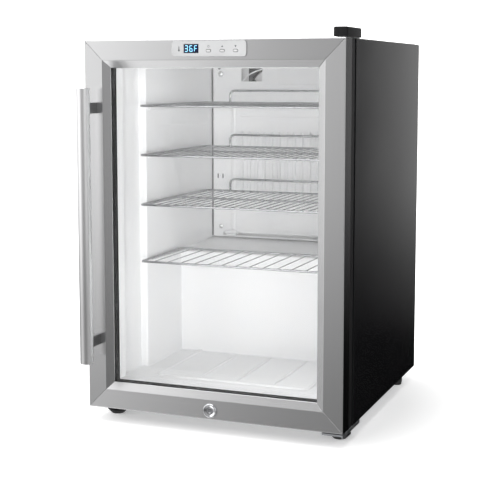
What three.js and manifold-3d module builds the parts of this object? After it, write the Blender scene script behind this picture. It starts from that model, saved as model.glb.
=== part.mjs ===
// A compact undercounter refrigerator with a framed double-glazed door.
// Millimetres, +Z up, +X to the right, +Y towards the back of the cabinet.
// The origin is on the floor, under the centre of the whole object.
import * as THREE from 'three';
import { mergeVertices } from 'three/addons/utils/BufferGeometryUtils.js';
import Module from 'manifold-3d';

const wasm = await Module();
wasm.setup();

// ---------------------------------------------------------------- driving dimensions
const WIDTH = 432;
const CABINET_HEIGHT = 594.5;
const FOOT_HEIGHT = 23;
const CABINET_DEPTH = 407.25;
const DOOR_GAP_DEPTH = 54;
const HANDLE_REACH = 47.5;
const GAP = 0.3;
const SHEET = 1;

// ---------------------------------------------------------------- main planes
const X_SIDE = WIDTH / 2;
const DEPTH = CABINET_DEPTH + DOOR_GAP_DEPTH + HANDLE_REACH;
const Y_REAR = DEPTH / 2;
const Y_DOOR = -DEPTH / 2 + HANDLE_REACH;
const Y_CABINET = Y_DOOR + DOOR_GAP_DEPTH;
const Z_BASE = FOOT_HEIGHT;
const Z_TOP = FOOT_HEIGHT + CABINET_HEIGHT;

// ---------------------------------------------------------------- food compartment
const WALL_FRONT = 29;
const WALL_DEEP = 42;
const STEP_DEPTH = 80;
const FLOOR = Z_BASE + 39.5;
const CEILING_FRONT = Z_TOP - 30;
const CEILING_DEEP = Z_TOP - 34;
const LINER_BACK = Y_DOOR + 430;
const HUMP_FRONT = Y_DOOR + 273;
const HUMP_TOP_FRONT = Z_BASE + 223;
const HUMP_TOP_BACK = Z_BASE + 229;
const LINER = 1.2;
const FLANGE_WIDTH = 14;
const COVER_FRONT = Y_DOOR + 417;

// ---------------------------------------------------------------- compressor bay
const BAY_FRONT = Y_DOOR + 307;
const BAY_TOP = Z_BASE + 190;

// ---------------------------------------------------------------- shelves
const SHELF_HALF_WIDTH = 172;
const SHELF_FRONT = Y_DOOR + 103;
const SHELF_BACK = Y_DOOR + 381;
const SHORT_SHELF_BACK = Y_DOOR + 270;
const SHELF_THICKNESS = 4;
const SHELF_LEVELS = [489, 407, 324].map((height) => Z_BASE + height);
const SHORT_SHELF_LEVEL = Z_BASE + 228;
const GUARD_HALF_WIDTH = 120;
const GUARD_HEIGHT = 24;

// ---------------------------------------------------------------- door
const DOOR_BOTTOM = Z_BASE + 1;
const DOOR_HEIGHT = Z_TOP - DOOR_BOTTOM;
const DOOR_CENTRE_Z = (DOOR_BOTTOM + Z_TOP) / 2;
const RAIL_WIDTH = 43.5;
const RAIL_FLAT = 31.8;
const RAIL_DEPTH = 31;
const BEVEL_DEPTH = 6.6;
const SKIN = 1.2;
const FRAME_REAR = 48;
const PANE_INSET = 36.2;
const PANE = 4;
const OUTER_PANE_FRONT = 8.5;
const SPACER_DEPTH = 10;
const HINGE_X = X_SIDE - 11;
const HINGE_Y = Y_DOOR + 16;
const HINGE_PIN_R = 3.5;

// ---------------------------------------------------------------- handle, controls, lock
const HANDLE_R = 10.5;
const HANDLE_X = -X_SIDE + 17.4;
const HANDLE_Y = Y_DOOR - HANDLE_REACH + HANDLE_R;
const HANDLE_BOTTOM = Z_BASE + 82;
const HANDLE_TOP = Z_BASE + 520;
const POST_HEIGHTS = [Z_BASE + 488, Z_BASE + 114.4];
const BEZEL_CENTRE_X = -0.6;
const BEZEL_CENTRE_Z = Z_BASE + 579.9;
const BEZEL_LENGTH = 123;
const BEZEL_HEIGHT = 24;
const BEZEL_PROUD = 2.2;
const BUTTON_X = [-0.6, 22, 43.7];
const BUTTON_Z = Z_BASE + 576.5;
const DISPLAY_X = -29.6;
const DISPLAY_LENGTH = 24.4;
const DISPLAY_HEIGHT = 13.2;
const LOCK_X = -1.1;
const LOCK_Z = Z_BASE + 15.7;
const CAM_FRONT = 50.8;

// ---------------------------------------------------------------- fan
const FAN_X = -58;
const FAN_Z = Z_BASE + 512;
const FAN_R = 37;
const FAN_FRONT = COVER_FRONT + 3;
const FAN_DEPTH = 15;
const FAN_SIDE = 82;

// ---------------------------------------------------------------- materials
function finish(color, roughness, metalness) {
  return new THREE.MeshStandardMaterial({ color, roughness, metalness });
}

const brushedSteel = finish(0xb9bbbd, 0.3, 1);
const blackPaint = finish(0x17181a, 0.35, 0.1);
const blackPlastic = finish(0x141414, 0.5, 0);
const greyPlastic = finish(0xd4d6d8, 0.4, 0);
const whitePlastic = finish(0xf2f3f4, 0.4, 0);
const foam = finish(0xe6dfb8, 0.9, 0);
const zinc = finish(0xc9ccd0, 0.35, 1);
const galvanised = finish(0x9fa3a6, 0.5, 1);
const chrome = finish(0xdfe2e6, 0.12, 1);
const wire = finish(0xd0d3d6, 0.25, 1);
const copper = finish(0xb8734a, 0.35, 1);
const aluminium = finish(0xc6c9cc, 0.4, 1);
const rubber = finish(0x1a1a1a, 0.8, 0);
const circuitGreen = finish(0x1c5a34, 0.6, 0);
const displayDark = finish(0x0b1638, 0.15, 0);
function clearGlass() {
  const glass = finish(0xe8f2f0, 0.05, 0);
  glass.transparent = true;
  glass.opacity = 0.25;
  return glass;
}

// ---------------------------------------------------------------- solids
function solid(geometry) {
  const bare = geometry.index ? geometry : geometry.clone();
  bare.deleteAttribute('normal');
  bare.deleteAttribute('uv');
  const welded = mergeVertices(bare, 1e-4);
  const vertProperties = Float32Array.from(welded.attributes.position.array);
  const triVerts = Uint32Array.from(welded.index.array);
  return new wasm.Manifold(new wasm.Mesh({ numProp: 3, vertProperties, triVerts }));
}

function geometryOf(shape) {
  const mesh = shape.asOriginal().simplify(0.001).getMesh();
  const geometry = new THREE.BufferGeometry();
  geometry.setAttribute('position', new THREE.BufferAttribute(mesh.vertProperties, 3));
  geometry.setIndex(new THREE.BufferAttribute(mesh.triVerts, 1));
  geometry.computeVertexNormals();
  return geometry;
}

function block(x, y, z) {
  const geometry = new THREE.BoxGeometry(x[1] - x[0], y[1] - y[0], z[1] - z[0]);
  geometry.translate((x[0] + x[1]) / 2, (y[0] + y[1]) / 2, (z[0] + z[1]) / 2);
  return solid(geometry);
}

// A round bar along one axis, from one end position to the other, through a centre point.
function rod(axis, ends, centre, radius, sides = 16) {
  const length = ends[1] - ends[0];
  const middle = (ends[0] + ends[1]) / 2;
  const geometry = new THREE.CylinderGeometry(radius, radius, length, sides);
  if (axis === 'x') {
    geometry.rotateZ(Math.PI / 2);
    geometry.translate(middle, centre[0], centre[1]);
  } else if (axis === 'y') {
    geometry.translate(centre[0], middle, centre[1]);
  } else {
    geometry.rotateX(Math.PI / 2);
    geometry.translate(centre[0], centre[1], middle);
  }
  return solid(geometry);
}

// A turned piece about a vertical axis, from points of [radius, height].
function turned(points, centre, sides = 32) {
  const profile = points.map(([radius, height]) => new THREE.Vector2(radius, height));
  const geometry = new THREE.LatheGeometry(profile, sides);
  geometry.rotateX(Math.PI / 2);
  geometry.translate(centre[0], centre[1], 0);
  return solid(geometry);
}

// A turned piece about an axis along Y, from points of [radius, depth from the door front].
function turnedAlongY(points, centre, sides = 32) {
  const profile = points.map(([radius, depth]) => new THREE.Vector2(radius, depth));
  const geometry = new THREE.LatheGeometry(profile, sides);
  geometry.translate(centre[0], Y_DOOR, centre[1]);
  return solid(geometry);
}

// An outline in the X-Z plane, extruded along +Y between two positions.
function extrudedAlongY(shape, y, segments = 2) {
  const depth = y[1] - y[0];
  const geometry = new THREE.ExtrudeGeometry(shape, { depth, bevelEnabled: false, curveSegments: segments });
  geometry.rotateX(Math.PI / 2);
  geometry.translate(0, y[1], 0);
  return solid(geometry);
}

// An outline in the Y-Z plane, extruded along X between two positions.
function extrudedAlongX(shape, x) {
  const geometry = new THREE.ExtrudeGeometry(shape, { depth: x[1] - x[0], bevelEnabled: false });
  const toRow = new THREE.Matrix4().makeBasis(
    new THREE.Vector3(0, 1, 0), new THREE.Vector3(0, 0, 1), new THREE.Vector3(1, 0, 0));
  geometry.applyMatrix4(toRow);
  geometry.translate(x[0], 0, 0);
  return solid(geometry);
}

// An outline in the X-Y plane, extruded along Z between two heights.
function extrudedAlongZ(shape, z, segments = 6) {
  const depth = z[1] - z[0];
  const geometry = new THREE.ExtrudeGeometry(shape, { depth, bevelEnabled: false, curveSegments: segments });
  geometry.translate(0, 0, z[0]);
  return solid(geometry);
}

function outline(points) {
  return new THREE.Shape(points.map(([a, b]) => new THREE.Vector2(a, b)));
}

// A rectangle with round corners, as a shape, about a centre.
function roundedRectangle(a, b, radius, centre) {
  const shape = new THREE.Shape();
  const left = centre[0] - a / 2;
  const right = centre[0] + a / 2;
  const low = centre[1] - b / 2;
  const high = centre[1] + b / 2;
  shape.moveTo(left + radius, low);
  shape.lineTo(right - radius, low);
  shape.absarc(right - radius, low + radius, radius, -Math.PI / 2, 0);
  shape.lineTo(right, high - radius);
  shape.absarc(right - radius, high - radius, radius, 0, Math.PI / 2);
  shape.lineTo(left + radius, high);
  shape.absarc(left + radius, high - radius, radius, Math.PI / 2, Math.PI);
  shape.lineTo(left, low + radius);
  shape.absarc(left + radius, low + radius, radius, Math.PI, Math.PI * 1.5);
  return shape;
}

// A path through points, with each inner corner replaced by an arc of the given radius.
class BentPath extends THREE.Curve {
  constructor(corners, radius, arcSteps = 4) {
    super();
    this.points = [corners[0]];
    for (let i = 1; i < corners.length - 1; i += 1) {
      const back = corners[i - 1].clone().sub(corners[i]).normalize();
      const ahead = corners[i + 1].clone().sub(corners[i]).normalize();
      const start = corners[i].clone().addScaledVector(back, radius);
      const end = corners[i].clone().addScaledVector(ahead, radius);
      const bend = new THREE.QuadraticBezierCurve3(start, corners[i], end);
      this.points.push(...bend.getPoints(arcSteps));
    }
    this.points.push(corners[corners.length - 1]);
  }

  getPoint(t) {
    const place = t * (this.points.length - 1);
    const index = Math.min(Math.floor(place + 1e-9), this.points.length - 2);
    return this.points[index].clone().lerp(this.points[index + 1], place - index);
  }

  getPointAt(t) {
    return this.getPoint(t);
  }

  getTangentAt(t) {
    const index = Math.round(t * (this.points.length - 1));
    const before = this.points[Math.max(index - 1, 0)];
    const after = this.points[Math.min(index + 1, this.points.length - 1)];
    return after.clone().sub(before).normalize();
  }
}

function bentTube(corners, bendRadius, tubeRadius, sides = 8, arcSteps = 4) {
  const path = new BentPath(corners.map((p) => new THREE.Vector3(...p)), bendRadius, arcSteps);
  const section = new THREE.Shape();
  section.absarc(0, 0, tubeRadius, 0, Math.PI * 2);
  const ring = new THREE.Shape(section.getPoints(sides).slice(0, sides));
  const steps = path.points.length - 1;
  return solid(new THREE.ExtrudeGeometry(ring, { steps, extrudePath: path, bevelEnabled: false }));
}

// ---------------------------------------------------------------- the scene graph
const refrigerator = new THREE.Group();
const cabinet = new THREE.Group();
const door = new THREE.Group();
refrigerator.add(cabinet, door);

function place(parent, name, shape, material) {
  const mesh = new THREE.Mesh(geometryOf(shape), material);
  mesh.name = name;
  parent.add(mesh);
}

// A frame in the X-Z plane: one rectangle of the door minus a smaller one.
function doorRing(outerInset, innerInset, depth) {
  return doorSlab(outerInset, depth).subtract(doorSlab(innerInset, [depth[0] - 1, depth[1] + 1]));
}

function doorSlab(inset, depth) {
  const x = [-X_SIDE + inset, X_SIDE - inset];
  const z = [DOOR_BOTTOM + inset, Z_TOP - inset];
  return block(x, [Y_DOOR + depth[0], Y_DOOR + depth[1]], z);
}

// ---------------------------------------------------------------- cabinet shell
function sidePanel(side) {
  const inner = X_SIDE - SHEET;
  const low = Z_BASE;
  const high = Z_TOP - SHEET - GAP;
  const spanOf = (near, far) => (side > 0 ? [near, far] : [-far, -near]);
  const wall = block(spanOf(inner, X_SIDE), [Y_CABINET, Y_REAR], [low, high]);
  const front = block(spanOf(X_SIDE - FLANGE_WIDTH, X_SIDE), [Y_CABINET, Y_CABINET + SHEET], [low, high]);
  const rear = block(spanOf(X_SIDE - FLANGE_WIDTH, X_SIDE), [Y_REAR - SHEET, Y_REAR], [low, high]);
  return wall.add(front).add(rear);
}

function topPanel() {
  const inner = X_SIDE - FLANGE_WIDTH - GAP;
  const high = Z_TOP - SHEET;
  const low = high - FLANGE_WIDTH;
  const sheet = block([-X_SIDE, X_SIDE], [Y_CABINET, Y_REAR], [high, Z_TOP]);
  const front = block([-inner, inner], [Y_CABINET, Y_CABINET + SHEET], [low, Z_TOP]);
  const rear = block([-inner, inner], [Y_REAR - SHEET, Y_REAR], [low, Z_TOP]);
  return sheet.add(front).add(rear);
}

const GLAND_X = 150;
const GLAND_Z = BAY_TOP - 12;
const GLAND_R = 7;
const BACK_PANEL_REAR = Y_REAR - SHEET - GAP;
const BACK_PANEL_FRONT = BACK_PANEL_REAR - SHEET;

function backPanel() {
  const half = X_SIDE - SHEET - GAP;
  const high = Z_TOP - SHEET - GAP;
  const sheet = block([-half, half], [BACK_PANEL_FRONT, BACK_PANEL_REAR], [BAY_TOP - 26, high]);
  const topSlot = block([-half, half], [BACK_PANEL_REAR - 0.1, Y_REAR], [high, Z_TOP]);
  const glandHole = rod('y', [BACK_PANEL_FRONT - 1, Y_REAR], [GLAND_X, GLAND_Z], GLAND_R + GAP);
  return sheet.subtract(topSlot).subtract(glandHole);
}

const FRONT_FOOT_X = 194;
const FRONT_FOOT_Y = Y_CABINET + 4.6;
const FOOT_STUD_R = 3;
const REAR_FOOT_X = 196;
const REAR_FOOT_Y = Y_DOOR + 404;
const PAN_TOP = Z_BASE + SHEET;

function basePan() {
  const half = X_SIDE - SHEET - GAP;
  const lipHalf = X_SIDE - FLANGE_WIDTH - GAP;
  const rear = Y_REAR - SHEET - GAP;
  const front = Y_CABINET + SHEET + GAP;
  let pan = block([-half, half], [front, rear], [Z_BASE, PAN_TOP]);
  pan = pan.add(block([-lipHalf, lipHalf], [Y_CABINET, front + 1], [Z_BASE, PAN_TOP]));
  pan = pan.add(block([-lipHalf, lipHalf], [Y_CABINET, Y_CABINET + SHEET], [Z_BASE, Z_BASE + 22]));
  for (const side of [-1, 1]) {
    pan = pan.subtract(
      rod('z', [Z_BASE - 1, PAN_TOP + 1], [side * FRONT_FOOT_X, FRONT_FOOT_Y], FOOT_STUD_R + GAP, 16));
    pan = pan.subtract(
      rod('z', [Z_BASE - 1, PAN_TOP + 1], [side * REAR_FOOT_X, REAR_FOOT_Y], FOOT_STUD_R + GAP, 16));
  }
  return pan;
}

// The space inside the liner, made larger on every side by a margin.
function compartment(margin) {
  const frontHalf = X_SIDE - WALL_FRONT + margin;
  const deepHalf = X_SIDE - WALL_DEEP + margin;
  const stepBack = Y_CABINET + STEP_DEPTH + margin;
  const front = block(
    [-frontHalf, frontHalf],
    [Y_CABINET - 2, stepBack],
    [FLOOR - margin, CEILING_FRONT + margin]);
  const deep = extrudedAlongX(outline([
    [Y_CABINET, FLOOR - margin],
    [HUMP_FRONT + margin, FLOOR - margin],
    [HUMP_FRONT + margin, HUMP_TOP_FRONT - margin],
    [LINER_BACK + margin, HUMP_TOP_BACK - margin],
    [LINER_BACK + margin, CEILING_DEEP + margin],
    [Y_CABINET, CEILING_DEEP + margin],
  ]), [-deepHalf, deepHalf]);
  const fanHalf = FAN_SIDE / 2 + 8 + margin;
  const fanPocket = block(
    [FAN_X - fanHalf, FAN_X + fanHalf],
    [LINER_BACK - 5, LINER_BACK + 12 + margin],
    [FAN_Z - fanHalf + 4, CEILING_DEEP + margin]);
  return front.add(deep).add(fanPocket);
}

const LEDGE_DEPTH = 6;
const LEDGE_HEIGHT = 5;

function shelfLedge(side, level, back) {
  const wall = X_SIDE - WALL_DEEP;
  const x = side > 0 ? [wall - LEDGE_DEPTH, wall + 0.5] : [-wall - 0.5, -wall + LEDGE_DEPTH];
  const top = level - SHELF_THICKNESS / 2 - GAP;
  return block(x, [Y_CABINET + STEP_DEPTH + 6, back], [top - LEDGE_HEIGHT, top]);
}

const SUCTION_X = 118;
const SUCTION_Y = LINER_BACK - 6;
const TUBE_R = 3;

function pipeBore() {
  return rod('z', [BAY_TOP - 5, COVER_LOW + 5], [SUCTION_X, SUCTION_Y], TUBE_R + 1, 12);
}

function innerLiner() {
  const flangeHalf = X_SIDE - FLANGE_WIDTH - GAP;
  const flange = block(
    [-flangeHalf, flangeHalf],
    [Y_CABINET, Y_CABINET + LINER],
    [Z_BASE + 22 + GAP, Z_TOP - SHEET - FLANGE_WIDTH - GAP]);
  const trimmed = block([-X_SIDE, X_SIDE], [Y_CABINET, Y_REAR], [Z_BASE, Z_TOP]);
  let shell = compartment(LINER).intersect(trimmed).add(flange).subtract(compartment(0));
  for (const side of [-1, 1]) {
    for (const level of SHELF_LEVELS) {
      shell = shell.add(shelfLedge(side, level, SHELF_BACK + 4));
    }
    shell = shell.add(shelfLedge(side, SHORT_SHELF_LEVEL, HUMP_FRONT + 0.5));
  }
  for (const x of [-135, -61, 4, 70]) {
    shell = shell.add(block([x - 1.5, x + 1.5], [Y_DOOR + 72, Y_DOOR + 250], [FLOOR - 0.5, FLOOR + 1.5]));
  }
  return shell.subtract(pipeBore());
}

const COIL_POCKET = 6.5;
const COIL_FRONT = Y_CABINET + 40;
const COIL_BACK = Y_CABINET + 330;
const COIL_TOP = Z_TOP - 60;
const COIL_RUNS = 5;
const COIL_TAIL_Y = Y_DOOR + 420;
const COIL_X = X_SIDE - SHEET - GAP - COIL_POCKET / 2;

function insulation() {
  const half = X_SIDE - SHEET - GAP;
  const rear = BACK_PANEL_FRONT - GAP;
  const high = Z_TOP - SHEET - GAP;
  let body = block([-half, half], [Y_CABINET + 1.6, rear], [PAN_TOP + GAP, high]);
  body = body.subtract(compartment(LINER + GAP));
  body = body.subtract(block([-X_SIDE, X_SIDE], [BAY_FRONT, Y_REAR], [Z_BASE - 1, BAY_TOP]));
  for (const side of [-1, 1]) {
    const face = half - COIL_POCKET;
    const x = side > 0 ? [face, X_SIDE] : [-X_SIDE, -face];
    body = body.subtract(block(x, [COIL_FRONT - 8, COIL_BACK + 8], [BAY_TOP - 1, COIL_TOP + 8]));
    body = body.subtract(block(x, [COIL_BACK, COIL_TAIL_Y + 8], [BAY_TOP - 1, BAY_TOP + 40]));
    body = body.subtract(
      rod('z', [Z_BASE, Z_BASE + 18], [side * FRONT_FOOT_X, FRONT_FOOT_Y], FOOT_STUD_R + 1, 16));
    body = body.subtract(
      rod('z', [Z_BASE, Z_BASE + 18], [side * REAR_FOOT_X, REAR_FOOT_Y], FOOT_STUD_R + 1, 16));
  }
  return body.subtract(pipeBore());
}

// The sheet that closes the insulation where the compressor stands.
function bayPanel() {
  const half = X_SIDE - SHEET - GAP - COIL_POCKET - 2;
  const front = BAY_FRONT + GAP;
  const rear = BACK_PANEL_FRONT - GAP;
  const wall = block([-half, half], [front, front + SHEET], [PAN_TOP + GAP, BAY_TOP - GAP]);
  const roof = block([-half, half], [front, rear], [BAY_TOP - GAP - SHEET, BAY_TOP - GAP]);
  return wall.add(roof).subtract(pipeBore());
}

// ---------------------------------------------------------------- refrigeration parts
// Each coil lies against its side panel, with a tail that comes down into the compressor bay.
function condenserCoil(side, tail) {
  const pitch = (COIL_BACK - COIL_FRONT) / (COIL_RUNS - 1);
  const low = BAY_TOP + 20;
  const corners = [...tail, [side * COIL_X, COIL_TAIL_Y, low]];
  for (let run = 0; run < COIL_RUNS; run += 1) {
    const y = COIL_BACK - run * pitch;
    const heights = run % 2 === 0 ? [low, COIL_TOP] : [COIL_TOP, low];
    corners.push(...heights.map((z) => [side * COIL_X, y, z]));
  }
  return bentTube(corners, 12, 2.4, 6, 2);
}

function evaporatorPlate() {
  const front = LINER_BACK - 7.5;
  const plateTop = FAN_Z - FAN_SIDE / 2 - 8;
  const plateLow = HUMP_TOP_BACK + 30;
  let plate = block([-150, 150], [front, front + 1.5], [plateLow, plateTop]);
  for (let channel = 0; channel < 6; channel += 1) {
    const z = plateLow + 18 + channel * 34;
    plate = plate.add(block([-138, 138], [front - 1.6, front + 0.5], [z, z + 8]));
  }
  return plate;
}

const WINDOW_X = [-113, -71];
const WINDOW_Z = [Z_BASE + 528, CEILING_DEEP - 8];
const COVER_LOW = HUMP_TOP_BACK + 3;
const COVER_SHEET = 1.5;
const INLET_HALF_WIDTH = 150;
const INLET_BOTTOM = COVER_LOW + 3;
const INLET_TOP = COVER_LOW + 8;

function evaporatorCover() {
  const half = X_SIDE - WALL_DEEP - 0.8;
  const high = CEILING_DEEP - 1;
  const back = LINER_BACK - GAP;
  const sheetDepth = [COVER_FRONT, COVER_FRONT + COVER_SHEET];
  const throughSheet = [COVER_FRONT - 1, COVER_FRONT + 3];
  const sheet = block([-half, half], sheetDepth, [COVER_LOW, high]);
  const rim = block([-half, half], [COVER_FRONT, back], [COVER_LOW, high])
    .subtract(block([-half + 1.5, half - 1.5], [COVER_FRONT - 1, back + 1], [COVER_LOW + 1.5, high - 1.5]));
  const air = block(WINDOW_X, throughSheet, WINDOW_Z);
  const inlet = block([-INLET_HALF_WIDTH, INLET_HALF_WIDTH], throughSheet, [INLET_BOTTOM, INLET_TOP]);
  return sheet.add(rim).subtract(air).subtract(pipeBore()).subtract(inlet);
}

// The curved guide that turns the fan's air up and out through the window.
function airVane() {
  const shape = new THREE.Shape();
  const left = WINDOW_X[0] + 1;
  const right = WINDOW_X[1] - 1;
  const low = WINDOW_Z[0] + 0.5;
  const high = WINDOW_Z[1] - 1;
  const wall = 2.5;
  shape.moveTo(left + wall, low);
  shape.quadraticCurveTo(left + 15, high - 8, right, high - wall);
  shape.lineTo(right, high);
  shape.quadraticCurveTo(left + 12, high - 6, left, low);
  shape.closePath();
  return extrudedAlongY(shape, [COVER_FRONT - 0.5, FAN_FRONT - 0.5], 5);
}

function fanHousing() {
  const y = [FAN_FRONT, FAN_FRONT + FAN_DEPTH];
  const half = FAN_SIDE / 2;
  const frame = block([FAN_X - half, FAN_X + half], y, [FAN_Z - half, FAN_Z + half]);
  return frame.subtract(rod('y', [y[0] - 1, y[1] + 1], [FAN_X, FAN_Z], FAN_R + 1.5, 32));
}

const FAN_HUB_R = 14;

function fanMotor() {
  const back = FAN_FRONT + FAN_DEPTH;
  const y = [back - 2, back];
  let motor = rod('y', y, [FAN_X, FAN_Z], FAN_HUB_R, 20);
  for (const angle of [0, 1, 2]) {
    const reach = FAN_R + 1;
    const arm = block([0, reach], y, [-1.5, 1.5]);
    const turn = 90 + angle * 120;
    motor = motor.add(arm.rotate([0, turn, 0]).translate([FAN_X, 0, FAN_Z]));
  }
  return motor.add(rod('y', [FAN_FRONT + 3, back - 1], [FAN_X, FAN_Z], 1.5, 12));
}

function fanRotor() {
  const y = [FAN_FRONT + 1, FAN_FRONT + FAN_DEPTH - 2.5];
  let rotor = rod('y', y, [FAN_X, FAN_Z], FAN_HUB_R, 20);
  for (let blade = 0; blade < 7; blade += 1) {
    const vane = block([FAN_HUB_R - 2, FAN_R], [-5, 5], [-0.7, 0.7]).rotate([35, 0, 0]);
    const middle = (y[0] + y[1]) / 2;
    rotor = rotor.add(vane.rotate([0, blade * 360 / 7, 0]).translate([FAN_X, middle, FAN_Z]));
  }
  const bore = rod('y', [FAN_FRONT + 2.5, y[1] + 1], [FAN_X, FAN_Z], 2, 12);
  return rotor.subtract(bore);
}

const COMPRESSOR_X = -50;
const COMPRESSOR_Y = Y_DOOR + 386;
const COMPRESSOR_LOW = Z_BASE + 16;

function compressorShell() {
  const low = COMPRESSOR_LOW;
  return turned([
    [0, low], [30, low], [46, low + 7], [54, low + 22], [56, low + 60], [60, low + 61],
    [60, low + 65], [56, low + 66], [54, low + 92], [45, low + 112], [27, low + 123], [0, low + 126],
  ], [COMPRESSOR_X, COMPRESSOR_Y], 28);
}

function compressorMount() {
  const top = COMPRESSOR_LOW - GAP;
  const x = [COMPRESSOR_X - 85, COMPRESSOR_X + 85];
  const y = [COMPRESSOR_Y - 52, COMPRESSOR_Y + 52];
  let plate = block(x, y, [top - 2, top]);
  for (const cornerX of [x[0] + 12, x[1] - 12]) {
    for (const cornerY of [y[0] + 12, y[1] - 12]) {
      plate = plate.add(rod('z', [PAN_TOP + GAP, top - 1], [cornerX, cornerY], 9, 16));
    }
  }
  return plate;
}

function relayCover() {
  const x = [COMPRESSOR_X + 60.5, COMPRESSOR_X + 96];
  const y = [COMPRESSOR_Y - 28, COMPRESSOR_Y + 28];
  return block(x, y, [COMPRESSOR_LOW + 24, COMPRESSOR_LOW + 84]);
}

function drainPan() {
  const low = COMPRESSOR_LOW + 128;
  const x = [COMPRESSOR_X - 68, COMPRESSOR_X + 68];
  const y = [COMPRESSOR_Y - 58, COMPRESSOR_Y + 58];
  const tray = block(x, y, [low, low + 22]);
  return tray.subtract(block([x[0] + 2, x[1] - 2], [y[0] + 2, y[1] - 2], [low + 2, low + 23]));
}

const DRIER_X = 172;
const DRIER_Y = COIL_TAIL_Y;

function filterDrier() {
  const low = Z_BASE + 50;
  return turned([
    [0, low], [2.4, low], [2.4, low + 8], [9, low + 18], [9, low + 78], [2.4, low + 88],
    [2.4, low + 96], [0, low + 96],
  ], [DRIER_X, DRIER_Y], 16);
}

function suctionLine() {
  const startZ = COMPRESSOR_LOW + 100;
  return bentTube([
    [COMPRESSOR_X + 57, COMPRESSOR_Y - 6, startZ],
    [SUCTION_X, COMPRESSOR_Y - 6, startZ],
    [SUCTION_X, SUCTION_Y, startZ],
    [SUCTION_X, SUCTION_Y, HUMP_TOP_BACK + 26],
  ], 14, TUBE_R);
}

// The compressor's hot gas goes to the left coil.
function dischargeTail() {
  const z = COMPRESSOR_LOW + 40;
  return [
    [COMPRESSOR_X - 57, COMPRESSOR_Y + 6, z],
    [-COIL_X, COMPRESSOR_Y + 6, z],
    [-COIL_X, COIL_TAIL_Y, z],
  ];
}

// The right coil's liquid goes down and up again into the filter drier.
function liquidTail() {
  const z = Z_BASE + 24;
  return [
    [DRIER_X, COIL_TAIL_Y, Z_BASE + 50 - GAP],
    [DRIER_X, COIL_TAIL_Y, z],
    [COIL_X, COIL_TAIL_Y, z],
  ];
}

function cordGland() {
  const outer = rod('y', [BACK_PANEL_REAR + GAP, Y_REAR], [GLAND_X, GLAND_Z], GLAND_R + 1.2);
  const neck = rod('y', [BACK_PANEL_FRONT - 4, Y_REAR - 0.4], [GLAND_X, GLAND_Z], GLAND_R);
  return outer.add(neck).subtract(rod('y', [Y_REAR - 20, Y_REAR + 1], [GLAND_X, GLAND_Z], 4));
}

function temperatureSensor() {
  const x = -132;
  const low = COVER_LOW + 2;
  const clip = block([x - 9, x + 9], [COVER_FRONT - 5, COVER_FRONT - GAP], [low, low + 11]);
  return clip.add(rod('x', [x - 14, x + 14], [COVER_FRONT - 4, low + 6], 3, 12));
}

// ---------------------------------------------------------------- lamp
const LAMP_Y = [Y_CABINET + 8, Y_CABINET + 24];

function interiorLamp() {
  const body = block([-75, 75], LAMP_Y, [CEILING_FRONT - 5, CEILING_FRONT - GAP]);
  const lens = block([-71, 71], [LAMP_Y[0] + 3, LAMP_Y[1] - 3], [CEILING_FRONT - 8, CEILING_FRONT - 4]);
  return body.add(lens);
}

// ---------------------------------------------------------------- hinges
const TOP_PLATE_LOW = Z_TOP + 2.3;
const TOP_PLATE_SHEET = 2.5;
const HINGE_PLATE_X = [X_SIDE - 19, X_SIDE - 3];

function topHingePlate() {
  const rear = block(HINGE_PLATE_X, [Y_CABINET - 2, Y_CABINET + 27], [Z_TOP + GAP, Z_TOP + 2.8]);
  const arm = block(
    HINGE_PLATE_X,
    [Y_DOOR + 8.2, Y_CABINET + 3],
    [TOP_PLATE_LOW, TOP_PLATE_LOW + TOP_PLATE_SHEET]);
  const bore = rod('z', [Z_TOP, Z_TOP + 8], [HINGE_X, HINGE_Y], HINGE_PIN_R + GAP);
  return rear.add(arm).subtract(bore);
}

function topHingePin() {
  const head = TOP_PLATE_LOW + TOP_PLATE_SHEET + GAP;
  const shank = rod('z', [Z_TOP - 11, head + 1], [HINGE_X, HINGE_Y], HINGE_PIN_R);
  const cap = rod('z', [head, head + 2.6], [HINGE_X, HINGE_Y], 5.5);
  const collar = rod('z', [Z_TOP + 0.4, TOP_PLATE_LOW - GAP], [HINGE_X, HINGE_Y], 6);
  return shank.add(cap).add(collar);
}

const COVER_WIDTH = 22;
const COVER_Y = [Y_DOOR + 5, Y_DOOR + 84];
const COVER_TOP = Z_TOP + 16;
const COVER_WALL = 1.8;

function topHingeCover() {
  const centre = [X_SIDE - COVER_WIDTH / 2, (COVER_Y[0] + COVER_Y[1]) / 2];
  const length = COVER_Y[1] - COVER_Y[0];
  const low = Z_TOP + 1.5;
  const plan = (inset) => roundedRectangle(
    COVER_WIDTH - 2 * inset, length - 2 * inset, 5 - inset, centre);
  const skirt = extrudedAlongZ(plan(0), [low, COVER_TOP - 2], 3);
  const crown = extrudedAlongZ(plan(1.5), [COVER_TOP - 3, COVER_TOP], 3);
  return skirt.add(crown).subtract(extrudedAlongZ(plan(COVER_WALL), [low - 1, COVER_TOP - COVER_WALL], 3));
}

const BRACKET_TOP = Z_BASE - GAP;
const BRACKET_LOW = BRACKET_TOP - 3;
const BRACKET_X = [X_SIDE - 34, X_SIDE - GAP];
const BRACKET_Y = [Y_DOOR + 1, Y_CABINET + 40];
const BRACKET_LIP = 6;

function bottomHingeBracket() {
  const plate = block(BRACKET_X, BRACKET_Y, [BRACKET_LOW, BRACKET_TOP]);
  const lip = block([BRACKET_X[1] - 2, BRACKET_X[1]], BRACKET_Y, [BRACKET_TOP - BRACKET_LIP, BRACKET_TOP]);
  const pinBore = rod('z', [BRACKET_LOW - 1, BRACKET_TOP + 1], [HINGE_X, HINGE_Y], HINGE_PIN_R + GAP);
  const footBore = rod(
    'z', [BRACKET_LOW - 1, BRACKET_TOP + 1], [FRONT_FOOT_X, FRONT_FOOT_Y], FOOT_STUD_R + GAP, 16);
  return plate.add(lip).subtract(pinBore).subtract(footBore);
}

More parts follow.
